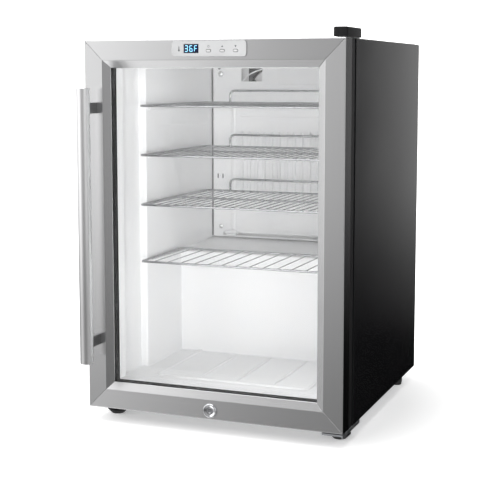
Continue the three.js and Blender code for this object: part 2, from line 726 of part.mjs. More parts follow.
function bottomHingePin() {
  const shank = rod('z', [BRACKET_LOW - 1, DOOR_BOTTOM + 11], [HINGE_X, HINGE_Y], HINGE_PIN_R);
  const collar = rod('z', [BRACKET_TOP + GAP, DOOR_BOTTOM - 0.4], [HINGE_X, HINGE_Y], 6);
  const head = rod('z', [BRACKET_LOW - 2, BRACKET_LOW - GAP], [HINGE_X, HINGE_Y], 5.5);
  return shank.add(collar).add(head);
}

// ---------------------------------------------------------------- feet
function frontFoot(side) {
  const centre = [side * FRONT_FOOT_X, FRONT_FOOT_Y];
  return turned([
    [0, 0], [9.5, 0], [11.5, 1.5], [16.5, 6.5], [17.5, 8.5], [16, 9.5], [8, 10], [8, 14], [FOOT_STUD_R, 14],
    [FOOT_STUD_R, Z_BASE + 15], [0, Z_BASE + 15],
  ], centre, 24);
}

function rearFoot(side) {
  const centre = [side * REAR_FOOT_X, REAR_FOOT_Y];
  return turned([
    [0, 0], [9.5, 0], [10.5, 1.5], [12, Z_BASE - GAP], [FOOT_STUD_R, Z_BASE - GAP],
    [FOOT_STUD_R, Z_BASE + 12], [0, Z_BASE + 12],
  ], centre, 20);
}

// ---------------------------------------------------------------- door frame
// The folded steel section: inset from the door's outer edge, and depth from its front face.
const RAIL_SECTION = [
  [0, RAIL_DEPTH],
  [0, SKIN],
  [SKIN, 0],
  [RAIL_FLAT, 0],
  [RAIL_WIDTH, BEVEL_DEPTH],
  [RAIL_WIDTH, BEVEL_DEPTH + 1.6],
  [RAIL_WIDTH - SKIN, BEVEL_DEPTH + 1.6],
  [RAIL_WIDTH - SKIN, BEVEL_DEPTH + 0.7],
  [RAIL_FLAT - 0.4, SKIN],
  [1.7, SKIN],
  [SKIN, 1.7],
  [SKIN, RAIL_DEPTH],
];
const MITRE_GAP = 0.15;

// One mitred rail along +X, with its outer edge at Z = 0 and its width rising in Z.
function mitredRail(length) {
  const section = outline(RAIL_SECTION);
  const geometry = new THREE.ExtrudeGeometry(section, { depth: 1, bevelEnabled: false });
  const position = geometry.attributes.position;
  for (let i = 0; i < position.count; i += 1) {
    const inset = position.getX(i);
    const depth = position.getY(i);
    const side = position.getZ(i) > 0.5 ? -1 : 1;
    position.setXYZ(i, side * (length / 2 - inset - MITRE_GAP), depth, inset);
  }
  return geometry;
}

function rail(name) {
  const vertical = name.includes('stile');
  const geometry = mitredRail(vertical ? DOOR_HEIGHT : WIDTH);
  const turns = { door_rail_bottom: 0, door_stile_right: 1, door_rail_top: 2, door_stile_left: 3 };
  const half = vertical ? WIDTH / 2 : DOOR_HEIGHT / 2;
  geometry.translate(0, 0, -half);
  geometry.rotateY(-turns[name] * Math.PI / 2);
  geometry.translate(0, Y_DOOR, DOOR_CENTRE_Z);
  return solid(geometry);
}

function bezelHole(margin, depth) {
  const length = BEZEL_LENGTH - 8 + 2 * margin;
  const shape = roundedRectangle(length, BEZEL_HEIGHT - 6 + 2 * margin, 2, [BEZEL_CENTRE_X, BEZEL_CENTRE_Z]);
  return extrudedAlongY(shape, [Y_DOOR + depth[0], Y_DOOR + depth[1]]);
}

function pinHole() {
  return rod('z', [Z_BASE - 5, Z_TOP + 5], [HINGE_X, HINGE_Y], HINGE_PIN_R + GAP);
}

const BARREL_R = 8.5;

function topRail() {
  return rail('door_rail_top').subtract(bezelHole(GAP, [-5, 5])).subtract(pinHole());
}

function bottomRail() {
  const lockHole = rod('y', [Y_DOOR - 5, Y_DOOR + 5], [LOCK_X, LOCK_Z], BARREL_R + GAP);
  return rail('door_rail_bottom').subtract(lockHole).subtract(pinHole());
}

function innerFrame() {
  const paneBack = OUTER_PANE_FRONT + 2 * PANE + SPACER_DEPTH + 2 * GAP;
  let frame = doorRing(2.2, RAIL_FLAT - 1.2, [1.7, 9]);
  frame = frame.add(doorRing(1.6, PANE_INSET - GAP, [OUTER_PANE_FRONT + 0.2, paneBack + GAP]));
  frame = frame.add(doorRing(1.6, RAIL_WIDTH, [paneBack + GAP, RAIL_DEPTH + 1]));
  frame = frame.add(doorRing(0.4, RAIL_WIDTH, [RAIL_DEPTH + GAP, FRAME_REAR]));
  frame = frame.subtract(bezelHole(1, [0, 16]));
  frame = frame.subtract(rod('y', [Y_DOOR, Y_DOOR + 60], [LOCK_X, LOCK_Z], BARREL_R + GAP));
  for (const [low, high] of [[DOOR_BOTTOM - 1, DOOR_BOTTOM + 13], [Z_TOP - 13, Z_TOP + 1]]) {
    frame = frame.subtract(rod('z', [low, high], [HINGE_X, HINGE_Y], HINGE_PIN_R + GAP));
  }
  return frame;
}

function pane(front) {
  return doorSlab(PANE_INSET, [front, front + PANE]);
}

function glassSpacer() {
  const front = OUTER_PANE_FRONT + PANE + GAP;
  return doorRing(PANE_INSET + 0.8, RAIL_WIDTH, [front, front + SPACER_DEPTH]);
}

const GASKET_INSET = 13;
const GASKET_BOTTOM = 26;
const GASKET_WIDTH = 11;

function doorGasket() {
  const y = [Y_DOOR + FRAME_REAR + GAP, Y_CABINET - 0.5];
  const loop = (grow) => block(
    [-X_SIDE + GASKET_INSET + grow, X_SIDE - GASKET_INSET - grow],
    [y[0] - (grow > 0 ? 1 : 0), y[1] + (grow > 0 ? 1 : 0)],
    [Z_BASE + GASKET_BOTTOM + grow, Z_TOP - GASKET_INSET - grow]);
  return loop(0).subtract(loop(GASKET_WIDTH));
}

// ---------------------------------------------------------------- handle
// A tube with closed ends, vented through a small hole in its lower end.
function handleTube() {
  const outer = turned([
    [0, HANDLE_BOTTOM], [HANDLE_R - 1, HANDLE_BOTTOM], [HANDLE_R, HANDLE_BOTTOM + 1],
    [HANDLE_R, HANDLE_TOP - 1], [HANDLE_R - 1, HANDLE_TOP], [0, HANDLE_TOP],
  ], [HANDLE_X, HANDLE_Y], 28);
  const centre = [HANDLE_X, HANDLE_Y];
  const hollow = rod('z', [HANDLE_BOTTOM + 3, HANDLE_TOP - 3], centre, HANDLE_R - 1.5, 28);
  const vent = rod('z', [HANDLE_BOTTOM - 1, HANDLE_BOTTOM + 4], centre, 2, 12);
  return outer.subtract(hollow).subtract(vent);
}

const POST_WIDTH = 7.5;
const POST_HEIGHT = 17;

function handlePost(height) {
  const x = [HANDLE_X - POST_WIDTH / 2, HANDLE_X + POST_WIDTH / 2];
  const z = [height - POST_HEIGHT / 2, height + POST_HEIGHT / 2];
  const bar = rod('z', [z[0] - 1, z[1] + 1], [HANDLE_X, HANDLE_Y], HANDLE_R + GAP, 28);
  return block(x, [HANDLE_Y + HANDLE_R - 2, Y_DOOR - GAP], z).subtract(bar);
}

// ---------------------------------------------------------------- control panel
const BUTTON_LENGTH = 7;
const BUTTON_HEIGHT = 3.2;

function buttonShape(x, margin) {
  const height = BUTTON_HEIGHT + 2 * margin;
  return roundedRectangle(BUTTON_LENGTH + 2 * margin, height, height / 2 - 0.01, [x, BUTTON_Z]);
}

function controlBezel() {
  const face = roundedRectangle(BEZEL_LENGTH, BEZEL_HEIGHT, 5, [BEZEL_CENTRE_X, BEZEL_CENTRE_Z]);
  let bezel = extrudedAlongY(face, [Y_DOOR - BEZEL_PROUD, Y_DOOR - GAP]);
  bezel = bezel.add(bezelHole(0, [-GAP - 0.5, 7]));
  bezel = bezel.subtract(bezelHole(-1.5, [-BEZEL_PROUD + 1.3, 8]));
  bezel = bezel.subtract(displayBlock(GAP, [-5, 5]));
  for (const x of BUTTON_X) {
    bezel = bezel.subtract(extrudedAlongY(buttonShape(x, GAP), [Y_DOOR - 5, Y_DOOR + 5]));
  }
  return bezel;
}

function displayBlock(margin, depth) {
  const x = [DISPLAY_X - DISPLAY_LENGTH / 2 - margin, DISPLAY_X + DISPLAY_LENGTH / 2 + margin];
  const z = [BEZEL_CENTRE_Z - DISPLAY_HEIGHT / 2 - margin, BEZEL_CENTRE_Z + DISPLAY_HEIGHT / 2 + margin];
  return block(x, [Y_DOOR + depth[0], Y_DOOR + depth[1]], z);
}

function controlButton(x) {
  const proud = BEZEL_PROUD + 0.8;
  const stem = extrudedAlongY(buttonShape(x, 0), [Y_DOOR - proud, Y_DOOR + 3]);
  const flange = extrudedAlongY(buttonShape(x, 1.2), [Y_DOOR - 0.6, Y_DOOR + 0.6]);
  return stem.add(flange);
}

function controlBoard() {
  return block([-55, 55], [Y_DOOR + 9, Y_DOOR + 10.6], [BEZEL_CENTRE_Z - 7.5, BEZEL_CENTRE_Z + 7.5]);
}

// ---------------------------------------------------------------- lock
const PLUG_R = 5.6;

function lockHousing() {
  const bore = PLUG_R + 0.3;
  return turnedAlongY([
    [bore, -2.2], [8.2, -2.6], [10.4, -3.2], [11.3, -2.6], [11.5, -GAP], [BARREL_R, -GAP],
    [BARREL_R, 46], [bore, 46], [bore, -2.2],
  ], [LOCK_X, LOCK_Z], 28);
}

function lockCylinder() {
  return turnedAlongY([
    [0, -2.1], [1.3, -2.1], [1.3, 4], [3.4, 4], [3.4, -1.9], [PLUG_R, -1.9], [PLUG_R, 47],
    [3, 47], [3, 53.2], [0, 53.2],
  ], [LOCK_X, LOCK_Z], 20);
}

// A flat arm that points left when unlocked and turns down behind the strike.
function lockCam() {
  const y = [Y_DOOR + CAM_FRONT, Y_DOOR + CAM_FRONT + 1.5];
  const arm = block([LOCK_X - 9, LOCK_X], y, [LOCK_Z - 4, LOCK_Z + 4]);
  const tip = rod('y', y, [LOCK_X - 9, LOCK_Z], 4, 16);
  const eye = rod('y', y, [LOCK_X, LOCK_Z], 5.2, 20);
  return arm.add(tip).add(eye).subtract(rod('y', [y[0] - 1, y[1] + 1], [LOCK_X, LOCK_Z], 3.2, 20));
}

// A bent plate on the cabinet's front edge whose lip the cam turns behind.
function lockStrike() {
  const face = Y_CABINET - GAP;
  const z = [Z_BASE + 2, Z_BASE + 8.5];
  const riser = LOCK_X + 8;
  const base = block([riser, riser + 24], [face - 1, face], [z[0], z[1] + 4]);
  const web = block([riser, riser + 1.2], [Y_CABINET - 5, face], z);
  const lip = block([LOCK_X - 5, riser + 1.2], [Y_CABINET - 5, Y_CABINET - 3.8], z);
  return base.add(web).add(lip);
}

// ---------------------------------------------------------------- shelves
const WIRE = 3;

function shelfPlate(level, back, wires, crossRails) {
  const z = [level - SHELF_THICKNESS / 2, level + SHELF_THICKNESS / 2];
  const half = SHELF_HALF_WIDTH;
  const columnPitch = (2 * half - WIRE) / (wires + 1);
  const rowPitch = (back - SHELF_FRONT - WIRE) / (crossRails + 1);
  let shelf = block([-half, -half + WIRE], [SHELF_FRONT, back], z);
  for (let column = 1; column <= wires + 1; column += 1) {
    const x = -half + column * columnPitch;
    shelf = shelf.add(block([x, x + WIRE], [SHELF_FRONT, back], z));
  }
  for (let row = 0; row <= crossRails + 1; row += 1) {
    const y = SHELF_FRONT + row * rowPitch;
    shelf = shelf.add(block([-half, half], [y, y + WIRE], z));
  }
  return shelf;
}

function shelfGuard(level) {
  const y = SHELF_BACK - 2.5;
  const high = level + GUARD_HEIGHT;
  return bentTube([
    [-GUARD_HALF_WIDTH, y, level],
    [-GUARD_HALF_WIDTH, y, high],
    [GUARD_HALF_WIDTH, y, high],
    [GUARD_HALF_WIDTH, y, level],
  ], 9, 2, 6, 3);
}

// ---------------------------------------------------------------- assembly
place(cabinet, 'side_panel_left', sidePanel(-1), blackPaint);
place(cabinet, 'side_panel_right', sidePanel(1), blackPaint);
place(cabinet, 'top_panel', topPanel(), blackPaint);
place(cabinet, 'back_panel', backPanel(), blackPaint);
place(cabinet, 'base_pan', basePan(), galvanised);
place(cabinet, 'foam_insulation', insulation(), foam);
place(cabinet, 'inner_liner', innerLiner(), whitePlastic);
place(cabinet, 'compressor_bay_panel', bayPanel(), galvanised);
place(cabinet, 'evaporator_plate', evaporatorPlate(), aluminium);
place(cabinet, 'evaporator_cover', evaporatorCover(), whitePlastic);
place(cabinet, 'air_vane', airVane(), whitePlastic);
place(cabinet, 'temperature_sensor', temperatureSensor(), whitePlastic);
place(cabinet, 'interior_lamp', interiorLamp(), whitePlastic);
place(cabinet, 'fan_housing', fanHousing(), blackPlastic);
place(cabinet, 'fan_motor', fanMotor(), blackPlastic);
place(cabinet, 'compressor_shell', compressorShell(), blackPaint);
place(cabinet, 'compressor_mount', compressorMount(), galvanised);
place(cabinet, 'relay_cover', relayCover(), blackPlastic);
place(cabinet, 'drain_pan', drainPan(), greyPlastic);
place(cabinet, 'condenser_coil_left', condenserCoil(-1, dischargeTail()), copper);
place(cabinet, 'condenser_coil_right', condenserCoil(1, liquidTail()), copper);
place(cabinet, 'filter_drier', filterDrier(), copper);
place(cabinet, 'suction_line', suctionLine(), copper);
place(cabinet, 'cord_gland', cordGland(), blackPlastic);
place(cabinet, 'top_hinge_plate', topHingePlate(), zinc);
place(cabinet, 'top_hinge_pin', topHingePin(), zinc);
place(cabinet, 'top_hinge_cover', topHingeCover(), blackPlastic);
place(cabinet, 'bottom_hinge_bracket', bottomHingeBracket(), zinc);
place(cabinet, 'bottom_hinge_pin', bottomHingePin(), zinc);
place(cabinet, 'lock_strike', lockStrike(), zinc);
place(cabinet, 'rear_foot_left', rearFoot(-1), rubber);
place(cabinet, 'rear_foot_right', rearFoot(1), rubber);
place(refrigerator, 'front_foot_left', frontFoot(-1), rubber);
place(refrigerator, 'front_foot_right', frontFoot(1), rubber);
place(refrigerator, 'fan_rotor', fanRotor(), blackPlastic);

place(door, 'door_rail_top', topRail(), brushedSteel);
place(door, 'door_rail_bottom', bottomRail(), brushedSteel);
place(door, 'door_stile_left', rail('door_stile_left'), brushedSteel);
place(door, 'door_stile_right', rail('door_stile_right'), brushedSteel);
place(door, 'door_inner_frame', innerFrame(), blackPlastic);
place(door, 'outer_pane', pane(OUTER_PANE_FRONT), clearGlass());
place(door, 'inner_pane', pane(OUTER_PANE_FRONT + PANE + SPACER_DEPTH + 2 * GAP), clearGlass());
place(door, 'glass_spacer', glassSpacer(), rubber);
place(door, 'door_gasket', doorGasket(), rubber);
place(door, 'handle_tube', handleTube(), brushedSteel);
place(door, 'handle_post_upper', handlePost(POST_HEIGHTS[0]), brushedSteel);
place(door, 'handle_post_lower', handlePost(POST_HEIGHTS[1]), brushedSteel);
place(door, 'control_bezel', controlBezel(), greyPlastic);
place(door, 'display_module', displayBlock(0, [-2, 4]), displayDark);
place(door, 'control_board', controlBoard(), circuitGreen);
place(door, 'lock_housing', lockHousing(), chrome);
place(door, 'lock_cylinder', lockCylinder(), chrome);
place(door, 'lock_cam', lockCam(), zinc);
BUTTON_X.forEach((x, i) => place(door, `control_button_${i + 1}`, controlButton(x), greyPlastic));

SHELF_LEVELS.forEach((level, i) => {
  const shelf = shelfPlate(level, SHELF_BACK, 21, 1).add(shelfGuard(level));
  place(refrigerator, `shelf_${i + 1}`, shelf, wire);
});
place(refrigerator, 'shelf_4', shelfPlate(SHORT_SHELF_LEVEL, SHORT_SHELF_BACK, 13, 0), wire);

export default refrigerator;
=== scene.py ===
"""Looks for the compact undercounter refrigerator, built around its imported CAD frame. Metres."""
import math

import bmesh
import bpy
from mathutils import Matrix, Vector


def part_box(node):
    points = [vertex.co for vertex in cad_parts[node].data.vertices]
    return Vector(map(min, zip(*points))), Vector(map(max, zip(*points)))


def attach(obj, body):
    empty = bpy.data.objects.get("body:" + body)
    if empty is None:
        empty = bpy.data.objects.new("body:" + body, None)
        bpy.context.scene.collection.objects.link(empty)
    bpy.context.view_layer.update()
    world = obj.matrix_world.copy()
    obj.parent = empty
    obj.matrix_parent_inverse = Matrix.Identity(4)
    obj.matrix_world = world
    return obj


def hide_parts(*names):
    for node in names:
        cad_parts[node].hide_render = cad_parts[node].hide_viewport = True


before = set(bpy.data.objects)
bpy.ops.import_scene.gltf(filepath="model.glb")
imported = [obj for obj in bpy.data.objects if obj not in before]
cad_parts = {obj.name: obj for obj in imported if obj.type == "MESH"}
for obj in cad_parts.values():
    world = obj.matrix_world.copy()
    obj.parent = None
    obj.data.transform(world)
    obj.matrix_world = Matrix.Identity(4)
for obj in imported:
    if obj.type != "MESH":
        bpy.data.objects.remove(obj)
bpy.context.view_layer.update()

MM = 0.001
GAP = 0.3 * MM

# ---- places taken from the frame
PANEL_LOW, PANEL_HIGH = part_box("side_panel_right")
X_SIDE = PANEL_HIGH.x
Y_CABINET = PANEL_LOW.y
Y_REAR = PANEL_HIGH.y
Z_BASE = PANEL_LOW.z
Z_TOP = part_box("top_panel")[1].z
Y_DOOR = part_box("door_rail_top")[0].y
DOOR_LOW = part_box("door_rail_bottom")[0].z
DOOR_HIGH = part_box("door_rail_top")[1].z


# ---- mesh helpers
def link_bmesh(mesh, tidy, smooth_angle):
    """A mesh object with outward normals, smooth except at edges sharper than the angle."""
    bmesh.ops.recalc_face_normals(tidy, faces=tidy.faces)
    tidy.to_mesh(mesh)
    tidy.free()
    mesh.shade_smooth()
    mesh.set_sharp_from_angle(angle=math.radians(smooth_angle))
    obj = bpy.data.objects.new(mesh.name, mesh)
    bpy.context.scene.collection.objects.link(obj)
    return obj


def link_mesh(name, verts, faces, smooth_angle=35):
    """A mesh object from points and faces, with points at the same place joined."""
    mesh = bpy.data.meshes.new(name)
    mesh.from_pydata([tuple(v) for v in verts], [], faces)
    tidy = bmesh.new()
    tidy.from_mesh(mesh)
    bmesh.ops.remove_doubles(tidy, verts=tidy.verts, dist=1e-6)
    return link_bmesh(mesh, tidy, smooth_angle)


def put(obj, body, material, slot, *replaced):
    """Gives a piece its material and body, and hides the CAD nodes that it stands for. The slot argument is
    not used.
    """
    obj.data.materials.clear()
    obj.data.materials.append(material)
    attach(obj, body)
    if replaced:
        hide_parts(*replaced)
    return obj


def merge(*parts):
    """Joins several (verts, faces) lists into one."""
    verts = []
    faces = []
    for part_verts, part_faces in parts:
        start = len(verts)
        verts.extend(part_verts)
        faces.extend([tuple(i + start for i in face) for face in part_faces])
    return verts, faces


def middle(low, high, axes="xy"):
    """The middle of a box on the two named axes."""
    return tuple((getattr(low, axis) + getattr(high, axis)) / 2 for axis in axes)


def round_node(node, axes="xy"):
    """The corners, the middle on the two named axes and the radius of a round CAD node."""
    low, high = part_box(node)
    return low, high, middle(low, high, axes), (high.x - low.x) / 2


def in_mm(points, start):
    """Profile points written in millimetres, the second number counted from a start in metres."""
    return [(radius * MM, start + place * MM) for radius, place in points]


def box_part(low, high):
    xs, ys, zs = zip(low, high)
    verts = [Vector((x, y, z)) for x in xs for y in ys for z in zs]
    faces = [(0, 1, 3, 2), (4, 6, 7, 5), (0, 4, 5, 1), (2, 3, 7, 6), (0, 2, 6, 4), (1, 5, 7, 3)]
    return verts, faces


def walls(count, sides, closed=False):
    """Faces between neighbouring rings of points, with end caps, or round to the first ring where closed."""
    faces = []
    for i in range(count if closed else count - 1):
        here = i * sides
        there = (i + 1) % count * sides
        for k in range(sides):
            nxt = (k + 1) % sides
            faces.append((here + k, here + nxt, there + nxt, there + k))
    if not closed:
        faces.append(tuple(range(sides)))
        faces.append(tuple((count - 1) * sides + k for k in range(sides)))
    return faces


def tube_part(points, radius, sides=12, closed=False):
    """A round bar along a path, with flat ends."""
    points = [Vector(p) for p in points]
    count = len(points)
    verts = []
    across = None
    for i, point in enumerate(points):
        before = points[i - 1] if (i > 0 or closed) else point
        after = points[(i + 1) % count] if (i < count - 1 or closed) else point
        along = (after - before).normalized()
        if across is None:
            helper = Vector((0, 0, 1)) if abs(along.z) < 0.9 else Vector((1, 0, 0))
            across = along.cross(helper).normalized()
        across = (across - along * across.dot(along)).normalized()
        up = along.cross(across)
        for k in range(sides):
            turn = 2 * math.pi * k / sides
            verts.append(point + radius * (math.cos(turn) * across + math.sin(turn) * up))
    return verts, walls(count, sides, closed)


def bent_path(corners, radius, steps=6):
    """A path through corners, with each inner corner rounded."""
    corners = [Vector(c) for c in corners]
    path = [corners[0]]
    for before, corner, after in zip(corners, corners[1:], corners[2:]):
        start = corner + (before - corner).normalized() * radius
        end = corner + (after - corner).normalized() * radius
        for k in range(steps + 1):
            t = k / steps
            path.append((1 - t) ** 2 * start + 2 * t * (1 - t) * corner + t ** 2 * end)
    path.append(corners[-1])
    return path


def turned_part(profile, centre, axis="z", segments=48):
    """A turned piece from (radius, place along the axis) points; a zero radius closes it."""
    verts = []
    faces = []
    rings = []
    for radius, place in profile:
        ring = []
        for k in range(segments if radius > 0 else 1):
            turn = 2 * math.pi * k / segments
            a = radius * math.cos(turn)
            b = radius * math.sin(turn)
            point = [centre[0] + a, centre[1] + b]
            point.insert("xyz".index(axis), place)
            verts.append(Vector(point))
            ring.append(len(verts) - 1)
        rings.append(ring)
    for lower, upper in zip(rings, rings[1:]):
        for k in range(segments):
            nxt = (k + 1) % segments
            face = [ring[i % len(ring)] for ring, i in ((lower, k), (lower, nxt), (upper, nxt), (upper, k))]
            distinct = list(dict.fromkeys(face))
            if len(distinct) > 2:
                faces.append(tuple(distinct))
    return verts, faces


def rounded_outline(length, height, radius, centre, steps=8):
    """Points round a rectangle with round corners, in two dimensions."""
    points = []
    for corner, (sx, sy) in enumerate([(1, 1), (-1, 1), (-1, -1), (1, -1)]):
        mid_x = centre[0] + sx * (length / 2 - radius)
        mid_y = centre[1] + sy * (height / 2 - radius)
        for k in range(steps + 1):
            turn = math.pi / 2 * (corner + k / steps)
            points.append((mid_x + radius * math.cos(turn), mid_y + radius * math.sin(turn)))
    return points


def inset_loops(length, height, radius, centre, section, steps=8, level=False):
    """Round-cornered loops stepped inwards, from (inset, place) points, in upright or level planes."""
    loops = []
    for inset, place in section:
        corner = max(radius - inset, 0.01 * MM)
        outline = rounded_outline(length - 2 * inset, height - 2 * inset, corner, centre, steps)
        loops.append([(x, other, place) if level else (x, place, other) for x, other in outline])
    return loops


def quarter(steps):
    """Angles over a quarter turn."""
    return [math.pi / 2 * k / steps for k in range(steps + 1)]


def plate_part(length, height, radius, centre, y_front, y_back, edge, steps=8):
    """A plate in the X-Z plane with round corners and a rounded front edge."""
    section = [(edge * (1 - math.sin(turn)), y_front + edge * (1 - math.cos(turn))) for turn in quarter(4)]
    section.append((0, y_back))
    return stacked_part(inset_loops(length, height, radius, centre, section, steps))


def stacked_part(loops):
    """A closed skin through loops that have the same number of points, capped at both ends."""
    return [Vector(p) for loop in loops for p in loop], walls(len(loops), len(loops[0]))


def ring_part(loops):
    """A closed frame swept through its section, from loops of equal length in order round the section."""
    return [Vector(p) for loop in loops for p in loop], walls(len(loops), len(loops[0]), closed=True)


def rounded_box_part(low, high, radius, steps=3):
    """A box with all its edges rounded."""
    tidy = bmesh.new()
    verts, faces = box_part(low, high)
    made = [tidy.verts.new(v) for v in verts]
    for face in faces:
        tidy.faces.new([made[i] for i in face])
    bmesh.ops.recalc_face_normals(tidy, faces=tidy.faces)
    bmesh.ops.bevel(tidy, geom=tidy.edges[:], offset=radius, segments=steps, affect="EDGES", profile=0.5)
    tidy.verts.index_update()
    result = ([v.co.copy() for v in tidy.verts], [tuple(v.index for v in f.verts) for f in tidy.faces])
    tidy.free()
    return result


def soften(node, width, segments):
    """Rounds the edges of a CAD node with modifiers, which leave its mesh as it is."""
    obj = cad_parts[node]
    weld = obj.modifiers.new("weld", "WELD")
    weld.merge_threshold = 1e-5
    bevel = obj.modifiers.new("soft_edges", "BEVEL")
    bevel.width = width
    bevel.segments = segments
    bevel.limit_method = "ANGLE"
    bevel.angle_limit = math.radians(28)
    bevel.harden_normals = False
    return obj


def dress(node, material, bevel, segments):
    """Gives a CAD node its material and, where asked, soft edges."""
    obj = soften(node, bevel, segments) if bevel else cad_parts[node]
    obj.data.materials.clear()
    obj.data.materials.append(material)
    return obj


# ---- material helpers
def add_node(tree, kind, inputs=None, **settings):
    """A new node with its settings, and with each named input linked to a socket or set to a value."""
    made = tree.nodes.new(kind)
    for key, value in settings.items():
        setattr(made, key, value)
    for key, value in (inputs or {}).items():
        if hasattr(value, "is_linked"):
            tree.links.new(value, made.inputs[key])
        else:
            made.inputs[key].default_value = value
    return made


class Shade:
    """A Principled material and the few nodes that these materials are built from."""

    def __init__(self, name):
        self.material = bpy.data.materials.new(name)
        self.material.use_nodes = True
        self.tree = self.material.node_tree
        self.bsdf = self.tree.nodes["Principled BSDF"]
        self.place = self.node("ShaderNodeTexCoord").outputs["Object"]

    def node(self, kind, inputs=None, **settings):
        return add_node(self.tree, kind, inputs, **settings)

    def link(self, source, target):
        self.tree.links.new(source, target)

    def fixed(self, **values):
        for key, value in values.items():
            self.bsdf.inputs[key.replace("_", " ").title().replace("Ior", "IOR")].default_value = value

    def stretched(self, scale):
        return self.node("ShaderNodeMapping", {"Scale": scale, "Vector": self.place}).outputs["Vector"]

    def noise(self, scale, detail=3.0, roughness=0.5, vector=None):
        return self.node("ShaderNodeTexNoise", {
            "Scale": scale, "Detail": detail, "Roughness": roughness,
            "Vector": vector or self.place}).outputs["Fac"]

    def cells(self, scale):
        return self.node("ShaderNodeTexVoronoi", {"Scale": scale, "Vector": self.place}, feature="F1")

    def remap(self, value, low, high, start=0.3, end=0.7):
        return self.node("ShaderNodeMapRange", {
            "From Min": start, "From Max": end, "To Min": low, "To Max": high,
            "Value": value}).outputs["Result"]

    def mix(self, factor, first, second):
        tones = [tone if hasattr(tone, "is_linked") else (*tone, 1) for tone in (first, second)]
        return self.node("ShaderNodeMix", {
            "Factor": factor, 6: tones[0], 7: tones[1]}, data_type="RGBA").outputs[2]

    def outside(self, reach):
        """One where the surface lies farther than the reach to the left or right, and zero elsewhere."""
        split = self.node("ShaderNodeSeparateXYZ", {"Vector": self.place})
        size = self.node("ShaderNodeMath", {0: split.outputs["X"]}, operation="ABSOLUTE")
        return self.remap(size.outputs["Value"], 0, 1, reach, reach + 0.1 * MM)

    def colour(self, socket):
        self.link(socket, self.bsdf.inputs["Base Color"])

    def rough(self, socket):
        self.link(socket, self.bsdf.inputs["Roughness"])

    def bump(self, height, distance, strength=1.0, over=None):
        inputs = {"Strength": strength, "Distance": distance, "Height": height}
        if over is not None:
            inputs["Normal"] = over
        normal = self.node("ShaderNodeBump", inputs).outputs["Normal"]
        self.link(normal, self.bsdf.inputs["Normal"])
        return normal


def brushed_metal(name, colour, grain, roughness, anisotropy=0.5, turn=0.0, dark_sides=False):
    """Metal with fine straight grain along one axis, and dark outer sides where asked."""
    shade = Shade(name)
    fine_scale = [2600.0, 2600.0, 2600.0]
    fine_scale["xyz".index(grain)] = 9.0
    lines = shade.noise(1.0, 3.0, 0.65, shade.stretched(fine_scale))
    broad_scale = [420.0, 420.0, 420.0]
    broad_scale["xyz".index(grain)] = 2.5
    bands = shade.noise(1.0, 2.0, 0.5, shade.stretched(broad_scale))
    dark = tuple(c * 0.975 for c in colour)
    light = tuple(min(c * 1.02, 1) for c in colour)
    tone = shade.mix(shade.remap(lines, 0, 1), dark, light)
    tone = shade.mix(shade.remap(bands, 0, 0.2), tone, light)
    shade.rough(shade.remap(lines, roughness * 0.97, roughness * 1.04))
    shade.bump(lines, 0.00001, 0.06)
    if dark_sides:
        outer = shade.outside(X_SIDE - 0.5 * MM)
        tone = shade.mix(outer, tone, (0.13, 0.13, 0.133))
    shade.colour(tone)
    shade.fixed(metallic=1.0, anisotropic=anisotropy, anisotropic_rotation=turn)
    tangent = shade.node("ShaderNodeTangent", direction_type="RADIAL", axis="Z")
    shade.link(tangent.outputs["Tangent"], shade.bsdf.inputs["Tangent"])
    return shade.material


def clouded(name, tones, cloud, finish, grain=None, metallic=0.0, spread=(0.3, 0.7)):
    """A surface that drifts between two tones and two roughnesses, with a fine bump where asked.

    The cloud is the scale and detail of a noise, and the grain the same with a depth and a strength.
    """
    shade = Shade(name)
    drift = shade.noise(*cloud)
    shade.colour(shade.mix(shade.remap(drift, 0, 1, *spread), *tones))
    shade.rough(shade.remap(drift, *finish))
    if grain:
        scale, detail, depth, strength = grain
        shade.bump(shade.noise(scale, detail), depth, strength)
    shade.fixed(metallic=metallic)
    return shade.material


def grained(name, tones, cloud, texture, finish, depth, specular=0.5):
    """A dull surface with a fine grain that sets both its bump and its roughness."""
    shade = Shade(name)
    grain = shade.noise(*texture)
    shade.colour(shade.mix(shade.remap(shade.noise(*cloud), 0, 1), *tones))
    shade.rough(shade.remap(grain, *finish))
    shade.bump(grain, depth, 0.5)
    shade.fixed(specular_ior_level=specular)
    return shade.material


def moulded_plastic(name, colour, roughness, grain=1800.0, depth=0.00003, specular=0.5):
    """Plastic with a fine spark-eroded grain."""
    tones = [tuple(c * 0.93 for c in colour), tuple(min(c * 1.12 + 0.002, 1) for c in colour)]
    finish = (roughness * 0.85, roughness * 1.2)
    return grained(name, tones, (14.0, 3.0), (grain, 2.0, 0.7), finish, depth, specular)


def soft_rubber(name, tone):
    tones = [(tone,) * 3, (tone * 2,) * 3]
    return grained(name, tones, (40.0, 4.0), (1300.0, 3.0, 0.7), (0.5, 0.75), 0.00004)


def gloss_white(name="white_liner", tone=0.86, roughness=0.22):
    """Glossy white sheet plastic, drawn over a mould."""
    shade = Shade(name)
    wave = shade.noise(28.0, 2.0)
    fine = shade.noise(420.0, 2.0)
    shade.colour(shade.mix(shade.remap(wave, 0, 1), (tone * 0.985, tone * 0.99, tone), (tone, tone, tone)))
    shade.rough(shade.remap(fine, roughness * 0.85, roughness * 1.2))
    soft = shade.bump(wave, 0.0004, 0.12)
    shade.bump(fine, 0.00003, 0.25, over=soft)
    return shade.material


